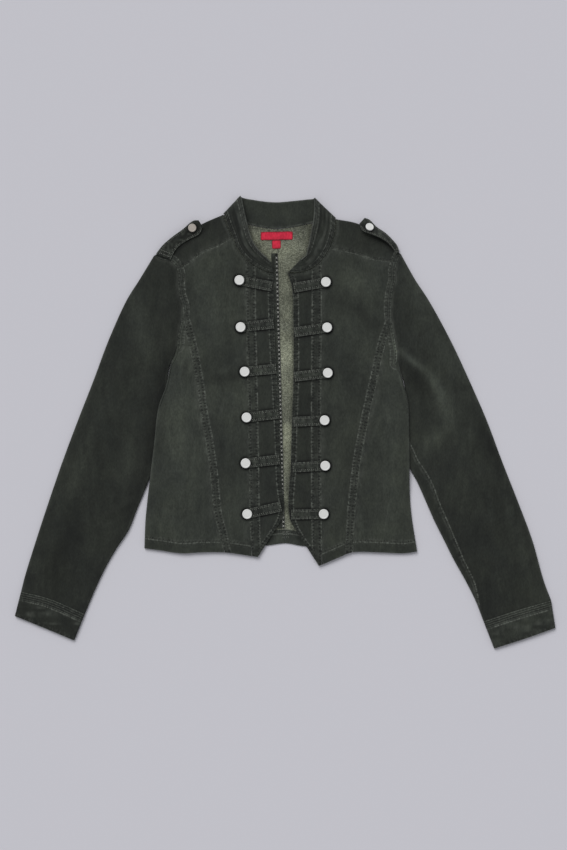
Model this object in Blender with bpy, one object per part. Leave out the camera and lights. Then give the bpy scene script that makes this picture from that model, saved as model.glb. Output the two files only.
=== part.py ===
"""A cropped military jacket, laid flat on a surface with its front up and its sleeves angled down.

The jacket is two layers of cloth on each other. The back lies on the surface. The yokes, front
panels and front bands lie on the back, and each sleeve and cuff is a flattened tube. A layer turns
round at the sides and shoulders, where the two layers meet, and is flat elsewhere but for its folds.

Frame: +Z up from the surface, +Y towards the collar, +X towards the wearer's left side.
The tables are in millimetres and scaled to metres as each mesh is made.
"""

from collections import namedtuple

import bpy
import numpy as np

MM = 0.001

# Cloth and gaps
CLOTH = 1.2  # one layer of washed cotton twill
DOUBLE = 2.2  # front band and collar, which are two layers with interfacing
HEM_CLOTH = 2.0  # the turned hem
CUFF_CLOTH = 1.9
TAB_CLOTH = 1.6
EPAULETTE_CLOTH = 1.8
PINCH = 0.4  # share of the thickness left where a seam pinches two layers to a point
PINCH_REACH = 9.0
SEAM_INSET = 0.18  # each piece stops this far from its seam line
COLLAR_INSET = 0.9  # and the collar this far from the neck seam
LAYER_INSET = 0.17  # half the gap where the top and bottom layers meet at an edge
REST_GAP = 0.4  # what lies on the cloth clears it by this much

# Loft of the laid cloth
LOFT = 5.0  # outer height of the two layers
ROLL = 2.7  # how far in from an edge the layer takes to turn round
LIFT = 4.4  # how far the body's side is raised by the sleeve tucked under it
LIFT_FULL_WIDTH = 14.0
LIFT_WIDTH = 60.0

# Details
HEM_DEPTH = 19.0
TAB_WIDTH = 16.0
BUTTON_RADIUS = 8.5
BUTTON_SIDES = 12

Side = namedtuple(
    "Side",
    "shoulder sleeve_outer sleeve_inner side armhole yoke_seam princess_seam band_seam "
    "neck_seam front_edge front_hem cuff_seam cuff_end corner lift_from lift_to",
)

# Each curve is a short list of (x, y) points. The wearer's right side is at -X.
SIDES = {
    "right": Side(
        shoulder=[(-98, 332), (-132, 317), (-170, 293), (-209, 266)],
        sleeve_outer=[
            (-209, 266), (-232, 228), (-252, 196), (-281, 132), (-305, 68), (-330, 4),
            (-354, -60), (-376, -124), (-397, -188), (-415, -246), (-421, -270),
        ],
        sleeve_inner=[
            (-171, 122), (-175.4, 107), (-183.4, 90), (-186.2, 77), (-188, 58), (-192, 25), (-197, -20),
            (-202, -50), (-209, -72), (-223, -108),
            (-236, -140), (-249, -172), (-270, -204), (-288, -236), (-303, -268), (-319, -306),
        ],
        side=[
            (-224, -201), (-222, -153), (-215, -92), (-208, -34), (-201, 25), (-189, 58), (-182, 90),
            (-174, 107), (-171, 122),
        ],
        armhole=[
            (-209, 266), (-195, 260), (-182, 257), (-173, 248), (-169.5, 236), (-170, 219),
            (-168, 203), (-163, 186), (-163.5, 168), (-169, 145), (-171, 122),
        ],
        yoke_seam=[(-172, 246), (-154, 254), (-138, 267), (-122, 276), (-105, 283), (-83, 296)],
        princess_seam=[
            (-96, -207.5), (-103, -176), (-111, -145), (-118, -76), (-125, -29), (-134, 20),
            (-141, 71), (-149, 115), (-156, 142), (-163.5, 168),
        ],
        band_seam=[(-52, -213.5), (-54, -150), (-55.5, -50), (-57, 36), (-59, 120), (-60.5, 200), (-60.5, 259.5)],
        neck_seam=[(-98, 332), (-93, 319), (-83, 296), (-76, 278), (-60.5, 259.5), (-45, 249), (-31, 242), (-18, 239)],
        front_edge=[(-42.5, -215), (-2, -151), (-4.5, -92), (-8, -4), (-11.5, 60), (-15, 119), (-17.5, 196), (-18, 239)],
        front_hem=[(-224, -201), (-201, -204), (-164, -209), (-135, -207.5), (-96, -207.5), (-52, -213.5), (-42.5, -215)],
        cuff_seam=[(-421, -270), (-377, -281), (-319, -306)],
        cuff_end=[(-431, -309), (-384, -328), (-336, -348)],
        corner=62,
        lift_from=122,
        lift_to=-92,
    ),
    "left": Side(
        shoulder=[(82, 325), (119, 317), (155, 294), (186, 269)],
        sleeve_outer=[
            (186, 269), (209, 228), (230, 196), (265, 132), (295, 68), (323, 4),
            (347, -60), (372, -124), (396, -188), (414, -252), (426, -284),
        ],
        sleeve_inner=[
            (179, 95), (186.6, 77.8), (191.4, 62), (192.3, 50), (190.5, 30), (190, -30), (200, -72), (213, -97),
            (225, -124), (239, -156), (255, -188), (271, -220), (289, -252), (305, -284), (318, -317.5),
        ],
        side=[
            (212, -206), (203, -148), (200, -108), (199.5, -52), (198.2, 9), (197, 33), (191, 57),
            (185.2, 77.8), (179, 95),
        ],
        armhole=[
            (186, 269), (180, 256), (176.5, 242), (177, 228), (173, 212), (170.5, 191),
            (170.5, 175), (171.5, 159), (176, 135), (179.5, 113), (179, 95),
        ],
        yoke_seam=[(180, 256), (149, 259.5), (135, 262.5), (117, 269), (100, 273), (72, 278.5)],
        princess_seam=[
            (108, -207.5), (109, -181), (111, -145), (115, -106), (120, -63), (127, -25),
            (136, 20), (147, 68), (156, 110), (163.5, 138), (171.5, 159),
        ],
        band_seam=[(59, -227.5), (57.5, -150), (57, -50), (57, 36), (57.5, 120), (58, 200), (58, 258)],
        neck_seam=[(82, 325), (80.5, 303), (72, 278.5), (58, 258), (43, 246), (25, 240), (5, 239.5)],
        front_edge=[(55, -229), (9.5, -158), (10, -68), (12, 4), (14, 60), (14.3, 164), (12.5, 213), (5, 239.5)],
        front_hem=[(212, -206), (190, -209), (153, -207.5), (108, -207.5), (86, -216), (59, -227.5), (55, -229)],
        cuff_seam=[(426, -284), (368, -301), (318, -317.5)],
        cuff_end=[(433, -328), (385, -345), (335, -361)],
        corner=70,
        lift_from=95,
        lift_to=-75,
    ),
}
NECK_BACK = [(-98, 332), (-61, 317.5), (-12, 309.5), (44, 318.5), (82, 325)]
CENTRE_BACK = [(1, -193), (-5, 50), (-12, 309.5)]
BACK_HEM = [(-224, -201), (-164, -203), (-100, -201), (-28, -196.5), (1, -193), (30, -197.5), (100, -203), (160, -205), (212, -206)]

# Soft folds of the top layer: a ridge, or a trough where height is negative, along each line.
Fold = namedtuple("Fold", "x0 y0 x1 y1 half_width height")
FOLDS = [
    Fold(-2, 250, 4, -170, 34, -1.2),  # the front edges lie lower than the chest
    Fold(-98, 325, -80, 270, 26, 1.1),
    Fold(82, 320, 72, 270, 26, 1.1),
    Fold(-140, 215, -120, 110, 16, 1.3),  # wearer's right chest
    Fold(-176, 60, -188, -60, 12, 1.2),  # wearer's right side panel
    Fold(-118, -118, -150, -166, 9, -1.3),
    Fold(-90, -110, -80, -190, 13, 1.0),
    Fold(120, 215, 108, 90, 18, 1.2),  # wearer's left chest
    Fold(176, 40, 182, -40, 10, 1.4),  # wearer's left side panel
    Fold(130, -100, 164, -146, 6, -1.7),
    Fold(150, -92, 188, -150, 8, 1.3),
    Fold(84, -120, 76, -196, 12, 0.9),
    Fold(-186, 244, -184, 160, 8, 1.8),  # wearer's right sleeve head
    Fold(-199, 214, -196, 134, 8, -1.5),
    Fold(-225, 190, -250, 90, 15, 1.6),
    Fold(-300, 20, -352, -130, 18, 1.5),
    Fold(-262, -20, -300, -150, 12, -1.1),
    Fold(-245, -128, -285, -150, 6, 1.6),
    Fold(-360, -160, -392, -240, 14, 1.4),
    Fold(188, 110, 258, -14, 9, 2.6),  # wearer's left sleeve, from the underarm
    Fold(203, 60, 226, 4, 8, -1.6),
    Fold(190, 226, 172, 206, 4, -1.4),
    Fold(222, 170, 262, 70, 15, 1.5),
    Fold(300, 40, 360, -180, 18, -1.2),
    Fold(262, -60, 330, -220, 16, 1.5),
    Fold(372, -180, 398, -250, 12, 1.2),
    Fold(-418, -290, -336, -326, 24, 1.3),  # cuffs, of double cloth
    Fold(424, -306, 332, -340, 24, 1.3),
]
# The sleeve is pressed flat where the body lies on it.
PRESSED = [
    Fold(-190, 60, -206, -70, 20, -1.3),
    Fold(192, 30, 196, -52, 20, -1.3),
]

# The standing collar: middle of the band at the neck seam, and at its free edge
CollarStation = namedtuple("CollarStation", "neck_x neck_y neck_z free_x free_y free_z")
COLLAR_RIGHT_FRONT = [
    CollarStation(-18, 239, 4.4, -22.5, 255, 17),
    CollarStation(-31, 242, 4.8, -29, 262, 19),
    CollarStation(-45, 249, 5.1, -38, 270, 20),
    CollarStation(-60.5, 259.5, 5.3, -48, 283, 21),
    CollarStation(-76, 278, 5.5, -55, 298, 20),
    CollarStation(-83, 296, 5.6, -59, 312, 18),
    CollarStation(-91, 314, 5.6, -65, 340, 14),
]
COLLAR_BACK = [
    CollarStation(-84, 326, 1.15, -60, 357.5, 1.15),
    CollarStation(-61, 317.5, 1.15, -45, 355, 1.15),
    CollarStation(-36, 311.5, 1.15, -28, 352.8, 1.15),
    CollarStation(-12, 309.5, 1.15, -12, 352, 1.15),
    CollarStation(17, 312.5, 1.15, 7, 353.4, 1.15),
    CollarStation(44, 318.5, 1.15, 28, 355.5, 1.15),
    CollarStation(70, 323.2, 1.15, 40, 356.8, 1.15),
]
COLLAR_LEFT_FRONT = [
    CollarStation(81.3, 312, 5.6, 47.8, 341, 13),
    CollarStation(80.5, 303, 5.6, 46.5, 325, 16),
    CollarStation(72, 278.5, 5.5, 42, 300, 18),
    CollarStation(58, 258, 5.3, 39, 283, 18),
    CollarStation(43, 246, 5.1, 36.5, 273, 17),
    CollarStation(25, 240, 4.8, 34.5, 266, 15),
    CollarStation(5, 239.5, 4.4, 27, 260, 13),
]
COLLAR_RIGHT_FOLD = ((-97, 333), (-70, 361))
COLLAR_LEFT_FOLD = ((81.5, 326), (47.5, 358))

# Each tab runs from the front edge to its button.
Tab = namedtuple("Tab", "edge_x edge_y button_x button_y")
TABS = {
    "right": [
        Tab(-19.5, 217, -72, 227),
        Tab(-17, 158, -70, 152),
        Tab(-13, 86, -63.5, 81),
        Tab(-9, 14, -60.5, 8),
        Tab(-7.5, -59, -62, -65),
        Tab(-5, -134, -59.5, -146),
    ],
    "left": [
        Tab(14.5, 215, 66, 224),
        Tab(15.5, 144, 68, 151.5),
        Tab(15.5, 73, 69, 79),
        Tab(14, 1, 64, 3.5),
        Tab(12.5, -72, 65, -69),
        Tab(10.5, -147, 62.5, -146),
    ],
}

# Epaulettes, from the armhole to the pointed end: the two long edges, and how far each lifts off the cloth
Strap = namedtuple("Strap", "outer_x outer_y outer_rise inner_x inner_y inner_rise")
EPAULETTES = {
    "right": [
        Strap(-205, 269, 0, -182, 260, 0),
        Strap(-195, 282, 0.8, -175, 274, 0.3),
        Strap(-181, 294.5, 1.4, -167, 283, 0.8),
        Strap(-162, 308.5, 1.6, -151, 293, 1.0),
        Strap(-146, 321.5, 1.4, -136, 301, 1.0),
        Strap(-137, 322.5, 1.2, -130.5, 312, 1.0),
    ],
    "left": [
        Strap(187, 271, 0, 178, 265.5, 0),
        Strap(182, 283, -1.2, 173, 276.5, 5.0),
        Strap(173, 294, -2.0, 165, 286, 11.0),
        Strap(162.5, 304, -2.4, 152, 294, 14.0),
        Strap(147, 313, -2.2, 136.5, 300.5, 14.0),
        Strap(136, 323.5, -1.6, 124, 306, 11.0),
        Strap(128, 326.5, 0.5, 119.5, 317, 7.0),
    ],
}
EPAULETTE_CROWN = 0.8
EPAULETTE_BUTTONS = {"right": (-147, 310), "left": (135, 313)}

# Woven labels on the inside of the back
LABEL = (-12.5, 298.5, 51.0, 13.0, 0.8)  # centre x and y, width, height, thickness
SIZE_TAB = (-13, 284.0, 14.0, 12.0, 0.8)


def spline(points, steps=12):
    """A smooth dense line through the points, by centripetal Catmull-Rom."""
    p = np.array(points, float)
    if len(p) < 3:
        t = np.linspace(0, 1, steps + 1)[:, None]
        return p[0] * (1 - t) + p[-1] * t
    p = np.vstack([2 * p[0] - p[1], p, 2 * p[-1] - p[-2]])
    out = []
    for a, b, c, d in zip(p[:-3], p[1:-2], p[2:-1], p[3:]):
        ta = 0.0
        tb = ta + np.linalg.norm(b - a) ** 0.5
        tc = tb + np.linalg.norm(c - b) ** 0.5
        td = tc + np.linalg.norm(d - c) ** 0.5
        t = np.linspace(tb, tc, steps, endpoint=False)[:, None]
        ab = (tb - t) / (tb - ta) * a + (t - ta) / (tb - ta) * b
        bc = (tc - t) / (tc - tb) * b + (t - tb) / (tc - tb) * c
        cd = (td - t) / (td - tc) * c + (t - tc) / (td - tc) * d
        abc = (tc - t) / (tc - ta) * ab + (t - ta) / (tc - ta) * bc
        bcd = (td - t) / (td - tb) * bc + (t - tb) / (td - tb) * cd
        out.append((tc - t) / (tc - tb) * abc + (t - tb) / (tc - tb) * bcd)
    out.append(p[-2][None])
    return np.vstack(out)


def lengths(line):
    """Distance along the line at each of its points."""
    return np.concatenate([[0], np.cumsum(np.linalg.norm(np.diff(line, axis=0), axis=1))])


def at(line, distances):
    """Points of the line at these distances along it."""
    s = lengths(line)
    return np.stack([np.interp(distances, s, line[:, k]) for k in range(line.shape[1])], axis=1)


def shares(line):
    """Distance along the line at each point, as a share of its length."""
    s = lengths(line)
    return s / s[-1]


def at_shares(line, fractions):
    return at(line, np.array(fractions) * lengths(line)[-1])


def cut(line, start, end):
    """The stretch of a dense line between the points nearest to start and end."""
    s = lengths(line)
    near = [s[np.argmin(np.linalg.norm(line - np.array(q, float), axis=1))] for q in (start, end)]
    inside = s[(s > min(near) + 0.1) & (s < max(near) - 0.1)]
    stops = np.concatenate([[min(near)], inside, [max(near)]])
    part = at(line, stops)
    return part if near[0] <= near[1] else part[::-1]


def join(*lines):
    """Lines end to end, each sharing its first point with the last one's end."""
    return np.vstack([lines[0]] + [line[1:] for line in lines[1:]])


def distance_to(points, line):
    """Distance in plan from each point to the line."""
    p = points[..., None, :]
    a, b = line[:-1], line[1:]
    ab = b - a
    t = np.clip(((p - a) * ab).sum(-1) / np.maximum((ab * ab).sum(-1), 1e-9), 0, 1)
    return np.linalg.norm(p - (a + t[..., None] * ab), axis=-1).min(-1)


def smooth(t):
    t = np.clip(t, 0, 1)
    return t * t * (3 - 2 * t)


def fold_height(points, folds):
    """Sum of the soft ridges and troughs at each point."""
    total = np.zeros(points.shape[:-1])
    for f in folds:
        line = np.array([(f.x0, f.y0), (f.x1, f.y1)], float)
        total += f.height * np.exp(-((distance_to(points, line) / f.half_width) ** 2))
    return total


LINES = {name: {field: spline(getattr(side, field)) for field in Side._fields[:13]} for name, side in SIDES.items()}


def lift_of(points, name):
    """How far the body is raised by the sleeve under its side edge."""
    side = SIDES[name]
    y = points[..., 1]
    along = smooth((side.lift_from - y) / 30) * smooth((y - side.lift_to + 55) / 45)
    across = 1 - smooth((distance_to(points, LINES[name]["side"]) - LIFT_FULL_WIDTH) / (LIFT_WIDTH - LIFT_FULL_WIDTH))
    return LIFT * along * across


def surfaces(points, name, piece):
    """Outer heights of the top and bottom layers of the body or a sleeve, turned round at its edges."""
    line = LINES[name]
    outline = join(line["shoulder"], line["sleeve_outer"])
    top = LOFT + fold_height(points, FOLDS)
    bottom = np.zeros(points.shape[:-1])
    if piece == "body":
        bottom = lift_of(points, name)
        edge = np.minimum(distance_to(points, outline), distance_to(points, line["side"]))
    else:
        top = top + fold_height(points, PRESSED)
        edge = np.minimum(distance_to(points, outline), distance_to(points, line["sleeve_inner"]))
    top = top + bottom
    middle = (top + bottom) / 2
    turn = np.sqrt(1 - (1 - np.clip(edge / ROLL, 0, 1)) ** 2)
    return middle + (top - middle) * turn, middle - (middle - bottom) * turn


def flat_top(points, name):
    """Height of the body's top layer without its turned edges, which straps and tabs lie on."""
    return LOFT + fold_height(points, FOLDS) + lift_of(points, name)


def coons(low, high, start, end):
    """Plan grid between four edge lines. Rows run from low to high, columns from start to end."""
    u_low, u_high, v_start, v_end = shares(low), shares(high), shares(start), shares(end)
    u_mean, v_mean = (u_low + u_high) / 2, (v_start + v_end) / 2
    u = ((1 - v_mean[:, None]) * u_low + v_mean[:, None] * u_high)[..., None]
    v = ((1 - u_mean) * v_start[:, None] + u_mean * v_end[:, None])[..., None]
    ruled = (1 - v) * low[None] + v * high[None] + (1 - u) * start[:, None] + u * end[:, None]
    corners = (
        (1 - u) * (1 - v) * low[0] + u * (1 - v) * low[-1] + (1 - u) * v * high[0] + u * v * high[-1]
    )
    return ruled - corners


def sideways(line, towards):
    """Unit vectors in plan, square to the line at each point, on the side of the given points."""
    along = np.gradient(line, axis=0)
    square = np.stack([-along[:, 1], along[:, 0]], axis=1)
    square /= np.linalg.norm(square, axis=1, keepdims=True)
    return square * np.sign(((towards - line) * square).sum())


def moved_in(line, inner, amount):
    """The line moved in by an amount, square to itself, and at its ends along the neighbouring edges."""
    out = line + sideways(line, inner) * amount[:, None]
    for k in (0, -1):
        along = inner[k] - line[k]
        along /= np.linalg.norm(along)
        square = sideways(line, inner)[k]
        out[k] = line[k] + along * min(amount[k] / max(abs(along @ square), 0.01), 3 * amount[k])
    return out


def inset(grid, low=SEAM_INSET, high=SEAM_INSET, start=SEAM_INSET, end=SEAM_INSET):
    """The grid with each edge moved in from its seam line. An amount is one number or one a point."""
    g = grid.copy()
    rows, columns = g.shape[:2]
    g[0] = moved_in(g[0], g[1], np.broadcast_to(float(low) if np.isscalar(low) else low, columns))
    g[-1] = moved_in(g[-1], g[-2], np.broadcast_to(float(high) if np.isscalar(high) else high, columns))
    g[:, 0] = moved_in(g[:, 0], g[:, 1], np.broadcast_to(float(start) if np.isscalar(start) else start, rows))
    g[:, -1] = moved_in(g[:, -1], g[:, -2], np.broadcast_to(float(end) if np.isscalar(end) else end, rows))
    return g


def turned_columns(grid, rows, at_end=False):
    """The grid with the columns by a turned edge set square to it, at the steps of its turn."""
    g = grid[:, ::-1].copy() if at_end else grid.copy()
    square = sideways(g[:, 0], g[:, 4])
    for k in (1, 2, 3):
        g[rows, k] = g[rows, 0] + square[rows] * ROLL_STEPS[k]
    return g[:, ::-1] if at_end else g


def grid_normals(grid, wrap):
    """Unit normal at each point of a grid of 3-D points, from the faces round it."""
    g = np.concatenate([grid, grid[:, :1]], axis=1) if wrap else grid
    face = np.cross(g[1:, 1:] - g[:-1, :-1], g[1:, :-1] - g[:-1, 1:])
    n = np.zeros_like(grid)
    columns = face.shape[1]
    for di in (0, 1):
        for dj in (0, 1):
            if wrap:
                n[di : di + face.shape[0]] += np.roll(face, dj, axis=1)
            else:
                n[di : di + face.shape[0], dj : dj + columns] += face
    return n / np.linalg.norm(n, axis=-1, keepdims=True)


def seam_normals(edge, up):
    """Normals along a seam edge, kept in its upright plane so that the cloth ends square to it."""
    along = np.gradient(edge, axis=0)
    level = np.linalg.norm(along[:, :2], axis=1, keepdims=True)
    normals = np.concatenate([-along[:, 2:] * along[:, :2] / level, level], axis=1)
    return up * normals / np.linalg.norm(normals, axis=1, keepdims=True)


def level_from(point, neighbour):
    """The level unit vector that points from the neighbour out through the point."""
    out = np.append(point[:2] - neighbour[:2], 0)
    return out / np.linalg.norm(out)


def mesh_object(name, vertices, faces, material, smooth_shading=True):
    mesh = bpy.data.meshes.new(name)
    mesh.from_pydata((np.array(vertices) * MM).tolist(), [], faces)
    mesh.update()
    if smooth_shading:
        mesh.shade_smooth()
        mesh.set_sharp_from_angle(angle=0.9)
    mesh.materials.append(material)
    obj = bpy.data.objects.new(name, mesh)
    bpy.context.scene.collection.objects.link(obj)
    return obj


def wall(name, outer, normals, thickness, material, wrap=False, flip=False):
    """A closed cloth wall: the outer points, and the same points moved in along their normals."""
    inner = outer - normals * np.broadcast_to(thickness, outer.shape[:2])[..., None]
    rows, columns = outer.shape[:2]
    count = rows * columns
    index = np.arange(count).reshape(rows, columns)
    if wrap:
        index = np.concatenate([index, index[:, :1]], axis=1)
    points = outer.reshape(-1, 3)
    faces = []
    for i in range(rows - 1):
        for j in range(index.shape[1] - 1):
            a, b, c, d = index[i, j], index[i, j + 1], index[i + 1, j + 1], index[i + 1, j]
            # Both sides of the wall split along the same, shorter diagonal
            if np.linalg.norm(points[a] - points[c]) > np.linalg.norm(points[b] - points[d]):
                a, b, c, d = b, c, d, a
            faces += [(a, b, c), (a, c, d), (c + count, b + count, a + count), (d + count, c + count, a + count)]
    rims = [index[0][::-1], index[-1]]
    if not wrap:
        rims += [index[:, 0], index[::-1, -1]]
    for rim in rims:
        for a, b in zip(rim[:-1], rim[1:]):
            faces.append((a, b, b + count, a + count))
    faces = [tuple(int(v) for v in (face[::-1] if flip else face)) for face in faces]
    vertices = np.concatenate([outer.reshape(-1, 3), inner.reshape(-1, 3)])
    return mesh_object(name, vertices, faces, material)


def facing(points, up, wrap=False):
    """Normals of the grid on the side that faces up, or down for up = -1, and whether its faces turn over."""
    normals = grid_normals(points, wrap)
    columns = points.shape[1] // 2 if wrap else points.shape[1]
    flip = normals[:, 1 : columns - 1, 2].sum() * up < 0
    return (-normals if flip else normals), flip


EDGES = {"low": (0, slice(None)), "high": (-1, slice(None)), "start": (slice(None), 0), "end": (slice(None), -1)}
INNER = {"low": (1, slice(None)), "high": (-2, slice(None)), "start": (slice(None), 1), "end": (slice(None), -2)}


def layer_panel(name, grid, height, up, material, thickness=CLOTH, turned=None):
    """A panel of one layer over its plan grid. turned maps an edge that turns round to the points it
    does so at, as a slice."""
    turned = turned or {}
    z = height.copy()
    for edge, span in turned.items():
        z[EDGES[edge]][span] += up * LAYER_INSET
    outer = np.concatenate([grid, z[..., None]], axis=-1)
    normals, flip = facing(outer, up)
    for at_edge in EDGES.values():
        normals[at_edge] = seam_normals(outer[at_edge], up)
    for edge, span in turned.items():
        line, inner = grid[EDGES[edge]], grid[INNER[edge]]
        level = np.zeros((len(line), 3))
        level[:, :2] = -sideways(line, inner)
        # At a corner the cloth turns within the plane of the seam that meets it there
        for k in (0, -1):
            level[k] = level_from(line[k], inner[k])
        normals[EDGES[edge]][span] = level[span]
    wall(name, outer, normals, thickness, material, flip=flip)


ROLL_STEPS = ROLL * (1 - np.cos(np.radians([0, 30, 60, 90])))


def armhole_points(name):
    """The armhole seam from the shoulder tip to the underarm, with stops where other seams meet it."""
    side, line = SIDES[name], LINES[name]["armhole"]
    s = lengths(line)
    yoke = s[np.argmin(np.linalg.norm(line - np.array(side.yoke_seam[0]), axis=1))]
    princess = s[np.argmin(np.linalg.norm(line - np.array(side.princess_seam[-1]), axis=1))]
    stops = [ROLL_STEPS]
    for start, end, spacing, least in ((ROLL, yoke, 16, 3), (yoke, princess, 26, 2), (princess, s[-1] - ROLL, 14, 4)):
        count = max(least, int(round((end - start) / spacing)))
        stops.append(np.linspace(start, end, count + 1)[1:])
    stops.append(s[-1] - ROLL_STEPS[2::-1])
    stops = np.concatenate(stops)
    return at(line, stops), int(np.argmin(abs(stops - yoke))), int(np.argmin(abs(stops - princess)))


SEAM_ROWS = 7
SLEEVE_ROWS = 11
UNDERARM_STEPS = np.array([0, 2.5, 8, 17, 28])


def hem_rows(line, corner, count):
    """Stops along a seam from its hem end: the edge, both sides of the hem's stitched line, half way to
    the level of the front's corner, and even steps from there."""
    stitched = [0, HEM_DEPTH - 0.4, HEM_DEPTH + 0.4, (HEM_DEPTH + corner) / 2]
    return np.concatenate([stitched, np.linspace(corner, lengths(line)[-1], count)])


def side_points(name):
    """The side from the hem to the underarm, with close steps below the underarm."""
    line = LINES[name]["side"]
    total = lengths(line)[-1]
    lower = hem_rows(line, SIDES[name].corner, SEAM_ROWS)
    lower = lower[lower < total - UNDERARM_STEPS[-1] - 8]
    points = at(line, np.concatenate([lower, total - UNDERARM_STEPS[::-1]]))
    points[-1] = armhole_points(name)[0][-1]
    return points


def shoulder_points(name):
    """The shoulder from the neck to its tip."""
    return at_shares(LINES[name]["shoulder"], np.linspace(0, 1, 9))


def panel_thickness(grid, side):
    """Double cloth over the hem's rows, one layer elsewhere, and less at the two points where the
    layers are pinched by the seam that ends there."""
    line = LINES[side]
    thick = np.full(grid.shape[:2], CLOTH)
    away = smooth((distance_to(grid[:2], line["side"]) - ROLL) / 8)
    thick[:2] = CLOTH + (HEM_CLOTH - CLOTH) * away
    for point in (line["armhole"][-1], line["shoulder"][0]):
        thick *= PINCH + (1 - PINCH) * smooth(np.linalg.norm(grid - point, axis=-1) / PINCH_REACH)
    return thick


def front_panels(name, materials):
    """Yoke, side front, centre front and front band of one side."""
    side, line = SIDES[name], LINES[name]
    cloth = materials["cloth"]
    armhole, yoke_at, princess_at = armhole_points(name)

    def top(grid):
        return surfaces(grid, name, "body")[0]

    # Side front, from the side to the princess seam, and up to the armhole between them
    edge = side_points(name)
    princess = at(line["princess_seam"], hem_rows(line["princess_seam"], side.corner, len(edge) - 4))
    princess[-1] = armhole[princess_at]
    side_hem = cut(line["front_hem"], side.front_hem[0], side.princess_seam[0])
    high = armhole[princess_at:][::-1]
    roll_share = ROLL_STEPS / lengths(side_hem)[-1]
    low = at_shares(side_hem, np.concatenate([roll_share, np.linspace(roll_share[-1], 1, len(high) - 3)[1:]]))
    low[0], low[-1] = edge[0], princess[0]
    grid = inset(turned_columns(coons(low, high, edge, princess), slice(1, -1)), low=0, start=0)
    thick = panel_thickness(grid, name)
    layer_panel(f"front_side_{name}", grid, top(grid), 1, cloth, thick, {"start": slice(None)})

    # Centre front, from the princess seam and armhole to the band seam
    outer_edge = join(princess, armhole[yoke_at : princess_at + 1][::-1])
    rows = len(outer_edge)
    band = at(line["band_seam"], hem_rows(line["band_seam"], side.corner, rows - 4))
    centre_hem = cut(line["front_hem"], side.princess_seam[0], side.band_seam[0])
    neck_part = cut(line["neck_seam"], side.yoke_seam[-1], side.band_seam[-1])
    yoke_points = at_shares(line["yoke_seam"], np.linspace(0, 1, 7))
    yoke_points[0], yoke_points[-1] = armhole[yoke_at], neck_part[0]
    high = join(yoke_points, at_shares(neck_part, [0, 0.5, 1]))
    low = at_shares(centre_hem, np.linspace(0, 1, len(high)))
    low[0], low[-1] = princess[0], band[0]
    high[-1] = band[-1]
    grid = inset(coons(low, high, outer_edge, band), low=0)
    layer_panel(f"front_centre_{name}", grid, top(grid), 1, cloth, panel_thickness(grid, name))

    # Front band, from its seam to the front edge, which slants to the hem's point below the corner
    point, turn = np.array(side.front_edge[0], float), np.array(side.front_edge[1], float)
    upper = cut(line["front_edge"], side.front_edge[1], side.front_edge[-1])
    slant = point + (turn - point) * (hem_rows(line["band_seam"], side.corner, 2)[:5] / side.corner)[:, None]
    upper[0] = turn
    free = join(slant, at_shares(upper, np.linspace(0, 1, rows - 4)))
    neck_end = cut(line["neck_seam"], side.band_seam[-1], side.neck_seam[-1])
    low = band[0] + (point - band[0]) * np.linspace(0, 1, 4)[:, None]
    high = at_shares(neck_end, np.linspace(0, 1, 4))
    high[0], high[-1] = band[-1], free[-1]
    grid = inset(coons(low, high, band, free), low=0, end=0)
    layer_panel(f"front_band_{name}", grid, top(grid), 1, cloth, DOUBLE)

    # Yoke, from its seam to the shoulder, where it turns round to meet the back
    to_shoulder = armhole[: yoke_at + 1][::-1]
    neck_side = cut(line["neck_seam"], side.yoke_seam[-1], side.neck_seam[0])
    reach = lengths(neck_side)[-1]
    even = np.linspace(0, reach - ROLL, len(to_shoulder) - 3)
    by_neck = at(neck_side, np.concatenate([even, reach - ROLL_STEPS[2::-1]]))
    shoulder = shoulder_points(name)[::-1]
    shoulder[0], shoulder[-1] = to_shoulder[-1], by_neck[-1]
    yoke_low = at_shares(yoke_points, np.linspace(0, 1, len(shoulder)))
    by_neck[0] = yoke_points[-1]
    grid = coons(yoke_low, shoulder, to_shoulder, by_neck)
    turned = turned_columns(grid.transpose(1, 0, 2), slice(1, -1), at_end=True).transpose(1, 0, 2)
    grid = inset(turned, high=0)
    layer_panel(f"yoke_{name}", grid, top(grid), 1, cloth, turned={"high": slice(None)})


def back_panel(name, materials):
    """One half of the back, from the centre back seam to the side, armhole and shoulder."""
    side, line = SIDES[name], LINES[name]
    armhole, _, _ = armhole_points(name)
    edge = side_points(name)
    below_arm = len(edge)
    outer_edge = join(edge, armhole[::-1])
    centre = spline(CENTRE_BACK)
    centre_points = at_shares(centre, shares(outer_edge))
    centre_points[1:3] = at(centre, [HEM_DEPTH - 0.4, HEM_DEPTH + 0.4])
    half_hem = cut(spline(BACK_HEM), CENTRE_BACK[0], side.side[0])
    half_neck = cut(spline(NECK_BACK), CENTRE_BACK[-1], side.shoulder[0])
    shoulder = shoulder_points(name)
    high = join(at_shares(half_neck, np.linspace(0, 1, 5)), shoulder)
    high[0], high[-1] = centre_points[-1], outer_edge[-1]
    roll_share = 1 - ROLL_STEPS[::-1] / lengths(half_hem)[-1]
    low = at_shares(half_hem, np.concatenate([np.linspace(0, roll_share[0], len(high) - 3), roll_share[1:]]))
    low[0], low[-1] = centre_points[0], outer_edge[0]
    grid = coons(low, high, centre_points, outer_edge)
    grid = turned_columns(grid, slice(1, below_arm + 3), at_end=True)
    by_neck = np.arange(grid.shape[1]) < 4
    by_arm = np.arange(grid.shape[0]) >= below_arm
    grid = inset(grid, low=0, high=by_neck * SEAM_INSET, end=by_arm * SEAM_INSET)
    height = surfaces(grid, name, "body")[1]
    turned = {"high": slice(4, None), "end": slice(0, below_arm)}
    layer_panel(f"back_{name}", grid, height, -1, materials["inside"], panel_thickness(grid, name), turned)


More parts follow.
